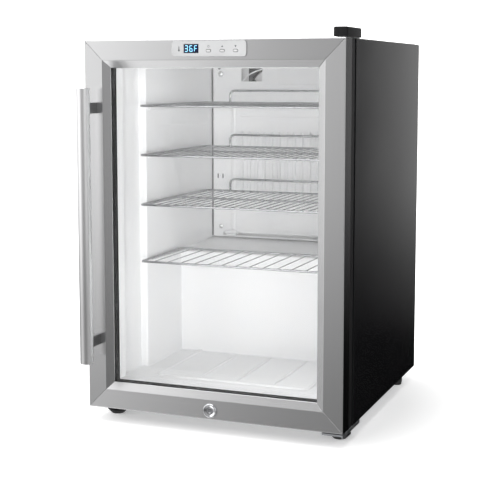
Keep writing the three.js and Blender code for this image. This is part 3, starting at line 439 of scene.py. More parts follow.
def galvanised_sheet():
    """Hot-dip galvanised sheet with its crystal pattern."""
    shade = Shade("galvanised_sheet")
    crystals = shade.cells(95.0)
    tone = shade.node("ShaderNodeSeparateColor", {"Color": crystals.outputs["Color"]})
    shade.colour(shade.mix(tone.outputs["Red"], (0.43, 0.44, 0.46), (0.53, 0.54, 0.56)))
    shade.rough(shade.remap(tone.outputs["Green"], 0.34, 0.55, 0, 1))
    shade.bump(shade.noise(900.0), 0.00002, 0.4)
    shade.fixed(metallic=1.0)
    return shade.material


def rigid_foam():
    """Pale closed-cell polyurethane foam."""
    shade = Shade("rigid_foam")
    pores = shade.cells(500.0)
    cloud = shade.noise(20.0, 4.0)
    shade.colour(shade.mix(shade.remap(cloud, 0, 1), (0.72, 0.62, 0.34), (0.82, 0.74, 0.48)))
    shade.rough(shade.remap(cloud, 0.8, 0.95))
    shade.bump(pores.outputs["Distance"], 0.0004, 0.8)
    return shade.material


def circuit_board():
    """Green solder mask with pale tracks."""
    shade = Shade("circuit_board")
    tracks = shade.node("ShaderNodeTexBrick", {
        "Scale": 120.0, "Mortar Size": 0.05, "Color1": (0.01, 0.09, 0.03, 1),
        "Color2": (0.012, 0.12, 0.04, 1), "Mortar": (0.05, 0.30, 0.10, 1), "Vector": shade.place})
    shade.colour(tracks.outputs["Color"])
    shade.rough(shade.remap(shade.noise(200.0), 0.3, 0.5))
    return shade.material


def window_glass():
    """Clear float glass with a faint green edge, which lets lamp light through."""
    shade = Shade("door_glass")
    view = shade.node("ShaderNodeLayerWeight", {"Blend": 0.25})
    shade.colour(shade.mix(view.outputs["Facing"], (0.998, 0.998, 0.998), (0.93, 0.96, 0.95)))
    shade.rough(shade.remap(shade.noise(3.0, 5.0), 0.0, 0.02))
    shade.fixed(transmission_weight=1.0, ior=1.25)
    output = shade.tree.nodes["Material Output"]
    clear = shade.node("ShaderNodeBsdfTransparent", {"Color": (0.965, 0.965, 0.965, 1)})
    path = shade.node("ShaderNodeLightPath").outputs
    either = shade.node(
        "ShaderNodeMath", {0: path["Is Shadow Ray"], 1: path["Is Diffuse Ray"]}, operation="MAXIMUM")
    both = shade.node("ShaderNodeMixShader", {
        "Fac": either.outputs["Value"], 1: shade.bsdf.outputs["BSDF"], 2: clear.outputs["BSDF"]})
    shade.link(both.outputs["Shader"], output.inputs["Surface"])
    return shade.material


def lit_segment():
    """Lit display segments, their blue drifting with a fine noise."""
    shade = Shade("display_segments")
    cloud = shade.noise(900.0, 2.0)
    glow = shade.mix(shade.remap(cloud, 0, 1), (0.10, 0.45, 0.95), (0.30, 0.68, 1.0))
    shade.colour(glow)
    shade.link(glow, shade.bsdf.inputs["Emission Color"])
    shade.fixed(emission_strength=0.9)
    return shade.material


STEEL_TONE = (0.64, 0.64, 0.645)
steel_across = brushed_metal("brushed_steel_across", STEEL_TONE, "x", 0.26, 0.6, 0.25)
steel_upright = brushed_metal("brushed_steel_upright", STEEL_TONE, "z", 0.26, 0.6, 0.0, dark_sides=True)
steel_bar = brushed_metal("brushed_steel_bar", (0.88, 0.88, 0.885), "z", 0.36, 0.5, 0.0)
post_steel = brushed_metal("brushed_steel_post", (0.30, 0.30, 0.305), "x", 0.3, 0.3, 0.0)
enamel = clouded(
    "black_enamel", [(0.003, 0.003, 0.0035), (0.005, 0.005, 0.0055)], (6.0, 3.0), (0.14, 0.17),
    grain=(650.0, 2.0, 0.00003, 0.15))
black_plastic = moulded_plastic("black_plastic", (0.012, 0.012, 0.013), 0.38)
dull_plastic = moulded_plastic("dull_black_plastic", (0.006, 0.006, 0.0065), 0.45, specular=0.15)
white_gloss = gloss_white()
cover_gloss = gloss_white("white_cover", 0.84, 0.16)
grey_plastic = moulded_plastic("grey_plastic", (0.31, 0.312, 0.315), 0.32, 1400.0, 0.00001)
button_plastic = moulded_plastic("button_plastic", (0.36, 0.36, 0.362), 0.35, 1400.0, 0.00001)
wire_metal = clouded(
    "plated_wire", [(0.27, 0.273, 0.28), (0.46, 0.463, 0.47)], (500.0, 3.0), (0.16, 0.30),
    grain=(500.0, 3.0, 0.00002, 0.4), metallic=1.0)
chrome = clouded(
    "bright_chrome", [(0.66, 0.67, 0.69), (0.80, 0.80, 0.82)], (300.0, 4.0), (0.06, 0.14), metallic=1.0)
zinc = clouded(
    "zinc_plating", [(0.55, 0.56, 0.57), (0.78, 0.78, 0.76)], (90.0, 5.0, 0.65), (0.24, 0.42),
    grain=(1500.0, 3.0, 0.00002, 0.4), metallic=1.0)
galvanised = galvanised_sheet()
copper = clouded(
    "copper_tube", [(0.78, 0.36, 0.20), (0.30, 0.12, 0.07)], (55.0, 5.0, 0.6), (0.2, 0.45),
    grain=(900.0, 3.0, 0.00002, 0.4), metallic=1.0, spread=(0.42, 0.66))
aluminium = brushed_metal("rolled_aluminium", (0.72, 0.73, 0.74), "x", 0.4, 0.2, 0.0)
rubber = soft_rubber("black_rubber", 0.012)
spacer_black = soft_rubber("spacer_black", 0.003)
# a grey used as painted shade in the gaps between the evaporator cover and the side walls
gap_shade_grey = soft_rubber("cover_gap_shade_grey", 0.10)
gasket_rubber = soft_rubber("gasket_rubber", 0.02)
foam = rigid_foam()
board_green = circuit_board()
pane_glass = window_glass()
display_dark = clouded(
    "display_window", [(0.001, 0.003, 0.012), (0.002, 0.005, 0.024)], (180.0, 3.0), (0.05, 0.12))
display_lit = lit_segment()
ink = clouded("printed_ink", [(0.035, 0.036, 0.04), (0.07, 0.072, 0.08)], (700.0, 2.0), (0.4, 0.6))
lens = gloss_white("lamp_lens", 0.9, 0.3)


# ---- CAD nodes that keep their shape
# material, bevel in millimetres, bevel segments, nodes
DRESSED = [
    (enamel, 0.35, 3, ["side_panel_left", "side_panel_right", "top_panel", "back_panel"]),
    (galvanised, 0.25, 2, ["base_pan", "compressor_bay_panel", "compressor_mount"]),
    (galvanised, 0.6, 3, ["bottom_hinge_bracket"]),
    (foam, 0, 2, ["foam_insulation"]),
    (aluminium, 0.3, 2, ["evaporator_plate"]),
    (cover_gloss, 0.4, 2, ["evaporator_cover"]),
    (cover_gloss, 0.3, 2, ["air_vane"]),
    (black_plastic, 0.5, 2, ["fan_housing"]),
    (black_plastic, 0.3, 2, ["fan_motor"]),
    (black_plastic, 0.2, 2, ["fan_rotor"]),
    (grey_plastic, 0.6, 2, ["drain_pan"]),
    (grey_plastic, 0.6, 3, ["control_bezel"]),
    (zinc, 0.3, 2, ["top_hinge_plate"]),
    (zinc, 0.2, 2, ["lock_strike", "lock_cam"]),
    (steel_across, 0.45, 3, ["door_rail_top", "door_rail_bottom"]),
    (steel_upright, 0.45, 3, ["door_stile_left", "door_stile_right"]),
    (dull_plastic, 0.5, 2, ["door_inner_frame"]),
    (pane_glass, 0.3, 2, ["outer_pane", "inner_pane"]),
    (spacer_black, 0.3, 2, ["glass_spacer"]),
    (post_steel, 0.4, 3, ["handle_post_upper", "handle_post_lower"]),
    (board_green, 0.1, 2, ["control_board"]),
    (copper, 0, 2, ["condenser_coil_left", "condenser_coil_right", "suction_line"]),
]
for material, bevel, segments, nodes in DRESSED:
    for node in nodes:
        dress(node, material, bevel * MM, segments)


# ---- liner
LINER_LOW, LINER_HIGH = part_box("inner_liner")
COVER_LOW, COVER_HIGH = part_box("evaporator_cover")
WALL_FRONT = X_SIDE - 29 * MM
WALL_DEEP = X_SIDE - 42 * MM
STEP_BACK = Y_CABINET + 80 * MM
FLOOR = Z_BASE + 39.5 * MM
CEILING_FRONT = Z_TOP - 30 * MM
CEILING_DEEP = Z_TOP - 34 * MM
LINER_BACK = COVER_HIGH.y + GAP
HUMP_FRONT = Y_DOOR + 273 * MM
HUMP_TOP_FRONT = Z_BASE + 223 * MM
HUMP_TOP_BACK = Z_BASE + 229 * MM


def liner_moulding():
    """The inside skin of the cabinet, with soft corners and a turned-out front flange."""
    tidy = bmesh.new()
    cache = {}
    front = Y_CABINET + 0.2 * MM
    flange = X_SIDE - 14.3 * MM
    a = WALL_FRONT
    b = WALL_DEEP
    places = {
        "front low": (front, FLOOR), "front high": (front, CEILING_FRONT),
        "flange low": (front, LINER_LOW.z), "flange high": (front, LINER_HIGH.z),
        "step low": (STEP_BACK, FLOOR), "step high": (STEP_BACK, CEILING_FRONT),
        "step top": (STEP_BACK, CEILING_DEEP),
        "hump low": (HUMP_FRONT, FLOOR), "hump top": (HUMP_FRONT, HUMP_TOP_FRONT),
        "back low": (LINER_BACK, HUMP_TOP_BACK), "back high": (LINER_BACK, CEILING_DEEP)}

    def face(*points):
        corners = []
        for x, place in points:
            key = tuple(round(value, 6) for value in (x, *places[place]))
            if key not in cache:
                cache[key] = tidy.verts.new(key)
            corners.append(cache[key])
        tidy.faces.new(corners)

    def band(wide, low, narrow, high):
        """A face across the liner between two lines, each with its half width and its place."""
        face((-wide, low), (wide, low), (narrow, high), (-narrow, high))

    for side in (-1, 1):
        c = side * a
        d = side * b
        face((c, "front low"), (c, "step low"), (c, "step high"), (c, "front high"))
        face((c, "step low"), (d, "step low"), (d, "step top"), (d, "step high"), (c, "step high"))
        face(*((d, place) for place in
               ("step low", "hump low", "hump top", "back low", "back high", "step top")))
        face((c, "front low"), (side * flange, "flange low"), (side * flange, "flange high"),
             (c, "front high"))
    face((-a, "front low"), (a, "front low"), (a, "step low"), (b, "step low"), (-b, "step low"),
         (-a, "step low"))
    band(b, "step low", b, "hump low")
    band(b, "hump low", b, "hump top")
    band(b, "hump top", b, "back low")
    band(b, "back low", b, "back high")
    band(b, "step top", b, "back high")
    band(b, "step high", b, "step top")
    face((-a, "front high"), (a, "front high"), (a, "step high"), (b, "step high"), (-b, "step high"),
         (-a, "step high"))
    band(a, "front low", flange, "flange low")
    band(a, "front high", flange, "flange high")
    bmesh.ops.recalc_face_normals(tidy, faces=tidy.faces)
    inner = [e for e in tidy.edges if len(e.link_faces) == 2 and e.calc_face_angle(0) > 0.3]
    long_edges = [e for e in inner if e.calc_length() > 8 * MM]
    bmesh.ops.bevel(tidy, geom=long_edges, offset=4 * MM, segments=5, affect="EDGES", profile=0.5,
                    clamp_overlap=True)
    obj = link_bmesh(bpy.data.meshes.new("liner_moulding"), tidy, 40)
    thick = obj.modifiers.new("sheet", "SOLIDIFY")
    thick.thickness = 1.0 * MM
    thick.offset = 0.0
    return obj


put(liner_moulding(), "cabinet", white_gloss, "white_plastic", "inner_liner")


def ridge_part(start, end, width, height, steps=10):
    """A low rounded ridge on a surface facing +Z, from start to end along Y."""
    loops = []
    length = end[1] - start[1]
    for k in range(steps + 1):
        t = k / steps
        rise = math.sin(math.pi * t) ** 0.25 if 0 < t < 1 else 0.02
        y = start[1] + t * length
        half = width / 2 * max(rise, 0.3)
        arc = [(start[0] + half * math.cos(a), y, start[2] + height * rise * math.sin(a))
               for a in [math.pi * j / 6 for j in range(7)]]
        arc.append((start[0] - half, y, start[2] - 0.4 * MM))
        arc.append((start[0] + half, y, start[2] - 0.4 * MM))
        loops.append(arc)
    return stacked_part(loops)


FLOOR_RIBS = [-61 * MM, 4 * MM, 70 * MM]
TRAY_LOW = (-138 * MM, Y_DOOR + 84 * MM)
TRAY_HIGH = (134 * MM, HUMP_FRONT + 12 * MM)
TRAY_RISE = 3.2 * MM


def floor_ribs():
    """A raised rim on the bottom of the liner that runs back into the step, with ribs inside it."""
    length = TRAY_HIGH[0] - TRAY_LOW[0]
    depth = TRAY_HIGH[1] - TRAY_LOW[1]
    centre = ((TRAY_LOW[0] + TRAY_HIGH[0]) / 2, (TRAY_LOW[1] + TRAY_HIGH[1]) / 2)
    shares = [(0, -0.2), (0.5, 0.35), (1.8, 0.9), (3.0, 1.0), (4.2, 0.9), (7.6, 0.1), (8.0, -0.2)]
    section = [(inset * MM, FLOOR + share * TRAY_RISE) for inset, share in shares]
    parts = [ring_part(inset_loops(length, depth, 14 * MM, centre, section, 6, level=True))]
    for x in FLOOR_RIBS:
        start = (x, TRAY_LOW[1] + 4 * MM, FLOOR)
        end = (x, HUMP_FRONT - 2 * MM, FLOOR)
        parts.append(ridge_part(start, end, 7 * MM, TRAY_RISE, 16))
    return link_mesh("liner_floor_ribs", *merge(*parts), 50)


put(floor_ribs(), "cabinet", white_gloss, "white_plastic")

SHELVES = ["shelf_1", "shelf_2", "shelf_3", "shelf_4"]
LEDGE_DEPTH = 6 * MM
LEDGE_HEIGHT = 5 * MM


def wall_strip(side, near, far, ys, zs, radius):
    """A rounded strip along one side wall, between two depths measured inwards from the wall."""
    xs = sorted((side * (WALL_DEEP - near), side * (WALL_DEEP - far)))
    return rounded_box_part(*zip(xs, ys, zs), radius)


def shelf_ledges():
    """The moulded ribs in the side walls that carry the shelves."""
    parts = []
    for name in SHELVES:
        low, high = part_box(name)
        top = low.z - GAP
        back = HUMP_FRONT if name == "shelf_4" else min(high.y + 4 * MM, LINER_BACK)
        ys = (STEP_BACK + 6 * MM, back)
        zs = (top - LEDGE_HEIGHT, top)
        parts += [wall_strip(side, LEDGE_DEPTH, -0.5 * MM, ys, zs, 1.2 * MM) for side in (-1, 1)]
    return link_mesh("liner_shelf_ledges", *merge(*parts), 40)


put(shelf_ledges(), "cabinet", white_gloss, "white_plastic")


# ---- evaporator cover
def capsule_rib(x, low, high, width, height, y):
    """A raised rib with round ends on a surface facing -Y."""
    half = width / 2
    loops = []
    centre = (x, (low + high) / 2)
    section = [(1.0, -0.3 * MM), (1.0, 0.15 * height), (0.86, 0.65 * height), (0.55, 0.95 * height)]
    for share, rise in section:
        length = high - low - width * (1 - share)
        ring = rounded_outline(width * share, length, half * share * 0.98, centre, 5)
        loops.append([(px, y - rise, pz) for px, pz in ring])
    return stacked_part(loops)


RIB_COUNT = 17
RIB_PITCH = 15 * MM
RIB_LOW = Z_BASE + 296 * MM
RIB_HIGH = Z_BASE + 434 * MM
COVER_Y = COVER_LOW.y


def cover_ribs():
    """The upright ribs of the cover, its long edge rib and the two raised panels above."""
    first = -X_SIDE + 104 * MM
    parts = [
        capsule_rib(first + k * RIB_PITCH, RIB_LOW, RIB_HIGH, 6.5 * MM, 3.4 * MM, COVER_Y)
        for k in range(RIB_COUNT)]
    x = -X_SIDE + 86 * MM
    parts.append(capsule_rib(x, COVER_LOW.z + 14 * MM, COVER_HIGH.z - 70 * MM, 9 * MM, 1.0 * MM, COVER_Y))
    for low, high, length in ((461, 486, 276), (521, 557, 200)):
        centre = ((160 - length / 2) * MM, Z_BASE + (low + high) / 2 * MM)
        size = (length * MM, (high - low) * MM, 8 * MM)
        parts.append(plate_part(*size, centre, COVER_Y - 1.4 * MM, COVER_Y + 0.2 * MM, 1.2 * MM))
    return link_mesh("evaporator_cover_ribs", *merge(*parts), 40)


put(cover_ribs(), "cabinet", cover_gloss, "white_plastic")


# across, height above the cabinet's base and radius, in millimetres
COVER_PLUGS = [(-155, 542, 4.2), (155, 542, 4.2), (-155, 251, 3.4), (155, 251, 3.4)]


def cover_disc(x, z, profile):
    """A small round piece on the cover, with its place and profile in millimetres."""
    return turned_part(in_mm(profile, COVER_Y), (x * MM, Z_BASE + z * MM), "y", 24)


def cover_plugs():
    """Snap plugs and screws that hold the cover."""
    parts = [
        cover_disc(x, z, [(0, -1.6), (0.7 * r, -1.5), (r, -0.9), (r, 0.2), (0, 0.2)])
        for x, z, r in COVER_PLUGS]
    return link_mesh("evaporator_cover_plugs", *merge(*parts), 40)


put(cover_plugs(), "cabinet", zinc, "zinc_plate")


def cover_hole_shade():
    """Black plates for the small slots and the hole beside the ribs, and a dark ring round each plug:
    painted shade for the shadow inside these openings and round the plugs.
    """
    parts = []
    for x in (-161, -151):
        centre = (x * MM, Z_BASE + 348 * MM)
        parts.append(plate_part(
            2.2 * MM, 9 * MM, 1.0 * MM, centre, COVER_Y - 0.15 * MM, COVER_Y + 0.2 * MM, 0.1 * MM, 4))
    parts.append(cover_disc(-158, 553, [(0, -0.2), (2.6, -0.2), (2.8, 0), (0, 0.2)]))
    for x, z, radius in COVER_PLUGS:
        outer = radius + 0.7
        parts.append(cover_disc(x, z, [(0, -0.25), (outer - 0.1, -0.25), (outer, 0.2), (0, 0.2)]))
    return link_mesh("evaporator_cover_hole_shade", *merge(*parts), 40)


put(cover_hole_shade(), "cabinet", black_plastic, "black_plastic")


def cover_gap_shade():
    """Grey strips between the cover and the side walls: painted shade for the shadow in the gap there."""
    ys = (COVER_Y - 0.8 * MM, COVER_Y + 0.2 * MM)
    zs = (COVER_LOW.z + 1 * MM, COVER_HIGH.z - 1 * MM)
    parts = [wall_strip(side, 3.6 * MM, 0.4 * MM, ys, zs, 0.3 * MM) for side in (-1, 1)]
    return link_mesh("evaporator_cover_gap_shade", *merge(*parts), 40)


put(cover_gap_shade(), "cabinet", gap_shade_grey, "rubber")


def sensor_clip():
    """The temperature sensor's probe in its clip."""
    low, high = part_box("temperature_sensor")
    x = middle(low, high)[0]
    clip = rounded_box_part((x - 9 * MM, low.y + 2 * MM, low.z), (x + 9 * MM, high.y, high.z), 1.0 * MM)
    profile = in_mm([(0, 0), (2.2, 0.6), (2.8, 3)], low.x) + in_mm([(2.8, -1), (0, 0)], high.x)
    probe = turned_part(profile, (low.y + 3 * MM, low.z + 6 * MM), "x", 20)
    return link_mesh("sensor_in_clip", *merge(clip, probe), 40)


put(sensor_clip(), "cabinet", cover_gloss, "white_plastic", "temperature_sensor")


def lamp():
    low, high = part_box("interior_lamp")
    base = rounded_box_part((low.x, low.y, high.z - 4.5 * MM), high, 1.2 * MM)
    inset = Vector((4, 3, 0)) * MM
    glow = rounded_box_part(low + inset, high - inset - Vector((0, 0, 4 * MM)), 1.5 * MM)
    return link_mesh("lamp_bar", *merge(base, glow), 40)


put(lamp(), "cabinet", lens, "white_plastic", "interior_lamp")


# ---- shelves
WIRE_R = 0.85 * MM
RAIL_R = 1.9 * MM


def shelf_wires(name, wires, rails, guard, double_edge):
    """Plated wires welded on top of cross rails, with a raised guard along the back."""
    low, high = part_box(name)
    left = low.x + RAIL_R
    right = high.x - RAIL_R
    front = low.y + RAIL_R
    back = high.y - RAIL_R
    rail_z = low.z + RAIL_R
    wire_z = low.z + 4 * MM - WIRE_R
    start = ((left + right) / 2, front, rail_z)
    corners = [(x, y, rail_z) for x, y in ((left, front), (left, back), (right, back), (right, front))]
    rim = bent_path([start, *corners, start], 7 * MM, 6)
    parts = [tube_part(rim[:-1], RAIL_R, 12, closed=True)]
    for k in range(rails):
        y = front + (back - front) * (k + 1) / (rails + 1)
        parts.append(tube_part([(left, y, rail_z), (right, y, rail_z)], RAIL_R * 0.9, 10))
    pitch = (right - left) / (wires + 1)
    for k in range(wires):
        x = left + (k + 1) * pitch
        parts.append(tube_part([
            (x, front - 0.6 * MM, wire_z - 0.9 * MM), (x, front + 0.6 * MM, wire_z),
            (x, back - 0.6 * MM, wire_z), (x, back + 0.6 * MM, wire_z - 0.9 * MM)], WIRE_R, 10))
    if double_edge:
        for x in (left + 6 * MM, right - 6 * MM):
            parts.append(tube_part([(x, front, wire_z), (x, back, wire_z)], WIRE_R, 10))
    if guard:
        half = 120 * MM
        top = high.z - 2 * MM
        y = high.y - 2.5 * MM
        hoop = [(-half, y, rail_z), (-half, y, top), (half, y, top), (half, y, rail_z)]
        parts.append(tube_part(bent_path(hoop, 10 * MM, 8), 2.0 * MM, 12))
    return link_mesh(name + "_wires", *merge(*parts), 50)


for shelf in SHELVES[:3]:
    put(shelf_wires(shelf, 22, 1, True, False), shelf, wire_metal, "shelf_wire", shelf)
put(shelf_wires("shelf_4", 13, 0, False, True), "shelf_4", wire_metal, "shelf_wire", "shelf_4")


# ---- handle
def handle_bar():
    low, high, centre, r = round_node("handle_tube")
    edge = 1.2 * MM
    profile = [(0, low.z)]
    profile += [(r - edge + edge * math.sin(t), low.z + edge - edge * math.cos(t)) for t in quarter(4)]
    profile += [(r - edge + edge * math.cos(t), high.z - edge + edge * math.sin(t)) for t in quarter(4)]
    profile.append((0, high.z))
    return link_mesh("handle_bar", *turned_part(profile, centre, "z", 64), 50)


put(handle_bar(), "door", steel_bar, "brushed_steel", "handle_tube")


# ---- control panel
BEZEL_LOW, BEZEL_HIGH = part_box("control_bezel")
BEZEL_X, BEZEL_Z = middle(BEZEL_LOW, BEZEL_HIGH, "xz")
FACE_Y = BEZEL_LOW.y
DISPLAY_LOW, DISPLAY_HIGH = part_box("display_module")


def bezel_rim():
    """A fine raised border round the face of the control panel."""
    length = BEZEL_HIGH.x - BEZEL_LOW.x
    height = BEZEL_HIGH.z - BEZEL_LOW.z
    section = in_mm([(1.0, 0.2), (1.3, -0.15), (2.0, -0.15), (2.3, 0.2)], FACE_Y)
    loops = inset_loops(length, height, 5 * MM, (BEZEL_X, BEZEL_Z), section)
    return link_mesh("bezel_rim", *ring_part(loops), 40)


put(bezel_rim(), "door", grey_plastic, "grey_plastic")


def display_window():
    length = DISPLAY_HIGH.x - DISPLAY_LOW.x
    height = DISPLAY_HIGH.z - DISPLAY_LOW.z
    centre = middle(DISPLAY_LOW, DISPLAY_HIGH, "xz")
    window = plate_part(length, height, 0.8 * MM, centre, FACE_Y - 0.02 * MM, Y_DOOR, 0.1 * MM, 4)
    return link_mesh("display_window", *window, 40)


put(display_window(), "door", display_dark, "display_window", "display_module")

SEGMENTS = {"3": "abcdg", "6": "acdefg", "F": "aefg"}


def segment_part(x, z, name, width, height, thick):
    """One bar of a seven-segment figure, as a flat six-sided plate."""
    half = width / 2
    mid = height / 2
    places = {
        "a": (0, mid, 0), "g": (0, 0, 0), "d": (0, -mid, 0),
        "f": (-half, mid / 2, 1), "b": (half, mid / 2, 1),
        "e": (-half, -mid / 2, 1), "c": (half, -mid / 2, 1),
    }
    cx, cz, upright = places[name]
    reach = (mid if upright else width) / 2 - 0.15 * MM
    t = thick / 2
    flat = [(-reach, 0), (-reach + t, t), (reach - t, t), (reach, 0), (reach - t, -t), (-reach + t, -t)]
    lean = 0.03
    points = []
    for u, v in flat:
        px, pz = (cx + v, cz + u) if upright else (cx + u, cz + v)
        points.append((x + px + lean * pz, z + pz))
    return stacked_part([[(px, y, pz) for px, pz in points]
                         for y in (FACE_Y - 0.10 * MM, FACE_Y - 0.02 * MM)])


def display_figures(text):
    middle_x, middle_z = middle(DISPLAY_LOW, DISPLAY_HIGH, "xz")
    pitch = 7.8 * MM
    parts = []
    for k, letter in enumerate(text):
        x = middle_x + (k - (len(text) - 1) / 2) * pitch
        for name in SEGMENTS[letter]:
            parts.append(segment_part(x, middle_z, name, 4.0 * MM, 8.8 * MM, 0.85 * MM))
    return link_mesh("display_figures", *merge(*parts), 40)


put(display_figures("36F"), "door", display_lit, "display_window")


BUTTON_FLANGE = 1.2 * MM


def button_shape(name):
    """The length, height, corner radius and centre of a button's cap."""
    low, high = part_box(name)
    length = high.x - low.x - 2 * BUTTON_FLANGE
    height = high.z - low.z - 2 * BUTTON_FLANGE
    return length, height, height / 2 - 0.02 * MM, middle(low, high, "xz")


def button_cap(name):
    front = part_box(name)[0].y
    cap = plate_part(*button_shape(name), front, Y_DOOR - 0.3 * MM, 0.5 * MM)
    return link_mesh(name + "_cap", *cap, 40)


BUTTONS = ["control_button_1", "control_button_2", "control_button_3"]
for button in BUTTONS:
    put(button_cap(button), button, button_plastic, "grey_plastic", button)


def button_gap_shade():
    """A dark ring round each button, in the gap between it and the panel: painted shade for the shadow in
    that gap.
    """
    section = in_mm([(-0.12, 0.1), (-0.12, -0.06), (-0.7, -0.06), (-0.7, 0.1)], FACE_Y)
    parts = [ring_part(inset_loops(*button_shape(name), section)) for name in BUTTONS]
    return link_mesh("button_gap_shade", *merge(*parts), 40)


put(button_gap_shade(), "door", dull_plastic, "black_plastic")


def flat_part(points, y_front, y_back):
    return stacked_part([[(x, y, z) for x, z in points] for y in (y_front, y_back)])


def arc_band(cx, cz, radius, thick, start, end, steps=14):
    """A flat band along an arc, as closed points."""
    turns = [start + (end - start) * k / steps for k in range(steps + 1)]
    outer, inner = [
        [(cx + r * math.cos(turn), cz + r * math.sin(turn)) for turn in turns]
        for r in (radius + thick / 2, radius - thick / 2)]
    return outer + inner[::-1]


def printed_marks():
    """Generic signs over the buttons: power, warmer and colder, and a thermometer by the display."""
    z = BEZEL_Z + 3.2 * MM
    power, warmer, colder = [middle(*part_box(name))[0] for name in BUTTONS]
    gap = math.radians(32)
    shapes = [arc_band(power, z, 1.5 * MM, 0.45 * MM, math.pi / 2 + gap, 2.5 * math.pi - gap)]
    bar = 0.22 * MM
    top = z + 2 * MM
    shapes.append([(power - bar, z), (power + bar, z), (power + bar, top), (power - bar, top)])
    size = 1.7 * MM
    for x, way in ((warmer, 1), (colder, -1)):
        foot = z - way * size * 0.7
        shapes.append([(x - size, foot), (x + size, foot), (x, z + way * size)])
    x = DISPLAY_LOW.x - 8 * MM
    shapes.append(arc_band(x, BEZEL_Z - 2.6 * MM, 0.8 * MM, 1.5 * MM, 0, 1.98 * math.pi))
    shapes.append(rounded_outline(1.2 * MM, 6 * MM, 0.55 * MM, (x, BEZEL_Z + 0.6 * MM), 5))
    parts = [flat_part(points, FACE_Y - 0.04 * MM, FACE_Y + 0.05 * MM) for points in shapes]
    return link_mesh("printed_marks", *merge(*parts), 40)


put(printed_marks(), "door", ink, "black_plastic")


# ---- lock
LOCK_LOW, LOCK_HIGH, LOCK_CENTRE, LOCK_R = round_node("lock_housing", "xz")


def lock_ring():
    """The bright ring round the lock, with its barrel through the door."""
    front = LOCK_LOW.y
    profile = in_mm([(5.9, 1.3), (7.4, 0.9), (9.0, 0.25), (9.9, 0), (10.7, 0.25)], front)
    profile += [
        (LOCK_R - 0.15 * MM, front + 1.1 * MM), (LOCK_R, front + 2.0 * MM), (LOCK_R, Y_DOOR),
        (8.5 * MM, Y_DOOR), (8.5 * MM, LOCK_HIGH.y), (5.9 * MM, LOCK_HIGH.y), profile[0]]
    return link_mesh("lock_ring", *turned_part(profile, LOCK_CENTRE, "y", 64), 40)


put(lock_ring(), "door", chrome, "chrome", "lock_housing")


def lock_plug():
    """The turning plug of a tubular lock: a ring keyway round a centre pin."""
    low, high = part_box("lock_cylinder")
    front = low.y
    profile = in_mm([
        (0, 0.1), (1.1, 0.1), (1.4, 0.5), (1.4, 5), (3.3, 5), (3.3, 0.5),
        (3.6, 0.2), (5.3, 0.2), (5.6, 0.6)], front)
    profile += in_mm([(5.6, -6), (3.0, -6), (3.0, 0), (0, 0)], high.y)
    plug = turned_part(profile, LOCK_CENTRE, "y", 48)
    notch = rounded_box_part(
        (LOCK_CENTRE[0] - 0.8 * MM, front + 0.05 * MM, LOCK_CENTRE[1] + 3.3 * MM),
        (LOCK_CENTRE[0] + 0.8 * MM, front + 0.8 * MM, LOCK_CENTRE[1] + 5.0 * MM), 0.15 * MM)
    return link_mesh("lock_plug", *merge(plug, notch), 40)


put(lock_plug(), "lock", chrome, "chrome", "lock_cylinder")


# ---- gasket
def window_loop(sides, inset, y):
    """Four corners of an upright rectangle, stepped inwards from its left, bottom, right and top."""
    left, bottom, right, top = sides
    xs = (left + inset, right - inset)
    low, high = bottom + inset, top - inset
    return [(xs[0], y, low), (xs[1], y, low), (xs[1], y, high), (xs[0], y, high)]


def gasket_loop():
    """The folded magnetic seal round the back of the door."""
    low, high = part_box("door_gasket")
    depth = high.y - low.y
    section = [
        (1.2, 0.0), (9.8, 0.0), (10.6, 0.12), (9.6, 0.28), (10.8, 0.42), (9.8, 0.56),
        (11.0, 0.72), (10.8, 0.94), (9.8, 1.0), (1.4, 1.0), (0.3, 0.94), (0.0, 0.72),
        (1.2, 0.56), (0.2, 0.42), (1.4, 0.28), (0.4, 0.12)]
    sides = (low.x, low.z, high.x, high.z)
    loops = [window_loop(sides, inset * MM, low.y + share * depth) for inset, share in section]
    return link_mesh("gasket_seal", *ring_part(loops), 25)


put(gasket_loop(), "door", gasket_rubber, "rubber", "door_gasket")


# ---- door lining
def door_lining():
    """The white lip that lines the opening of the door's inner frame."""
    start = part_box("inner_pane")[1].y + GAP
    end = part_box("door_inner_frame")[1].y
    rail_low, rail_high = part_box("door_stile_left")
    inset = rail_high.x - rail_low.x
    overlap = 0.2 * MM
    left = -X_SIDE + inset - overlap
    sides = (left, DOOR_LOW + inset - overlap, -left, DOOR_HIGH - inset + overlap)
    thick = 0.9 * MM
    section = [(0, start), (thick, start), (thick, end - 0.8 * MM), (thick * 0.5, end), (0, end)]
    loops = [window_loop(sides, inward, y) for inward, y in section]
    return link_mesh("door_lining", *ring_part(loops), 25)


put(door_lining(), "door", white_gloss, "white_plastic")


# ---- hinges
def hinge_cover():
    """The moulded cap over the top hinge."""
    low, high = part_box("top_hinge_cover")
    size = (high.x - low.x, high.y - low.y, 5 * MM, middle(low, high))
    wall = 1.6 * MM
    edge = 2.4 * MM
    outer = [(0, low.z)]
    outer += [(edge * (1 - math.cos(turn)), high.z - edge + edge * math.sin(turn)) for turn in quarter(6)]
    inner = [(wall + edge, high.z - wall - 0.2 * MM), (wall, high.z - wall - edge * 0.6), (wall, low.z)]
    loops = inset_loops(*size, outer, level=True)
    shell = stacked_part(loops)
    hollow = stacked_part(inset_loops(*size, inner, level=True))
    count = len(loops[0])
    verts = shell[0] + hollow[0]
    start = len(shell[0])
    faces = [f for f in shell[1] if f != tuple(range(count))]
    last = tuple((len(inner) - 1) * count + k for k in range(count))
    faces += [tuple(i + start for i in f) for f in hollow[1] if f != last]
    for k in range(count):
        nxt = (k + 1) % count
        rim = start + (len(inner) - 1) * count
        faces.append((k, nxt, rim + nxt, rim + k))
    return link_mesh("hinge_cap", verts, faces, 35)


put(hinge_cover(), "cabinet", dull_plastic, "black_plastic", "top_hinge_cover")


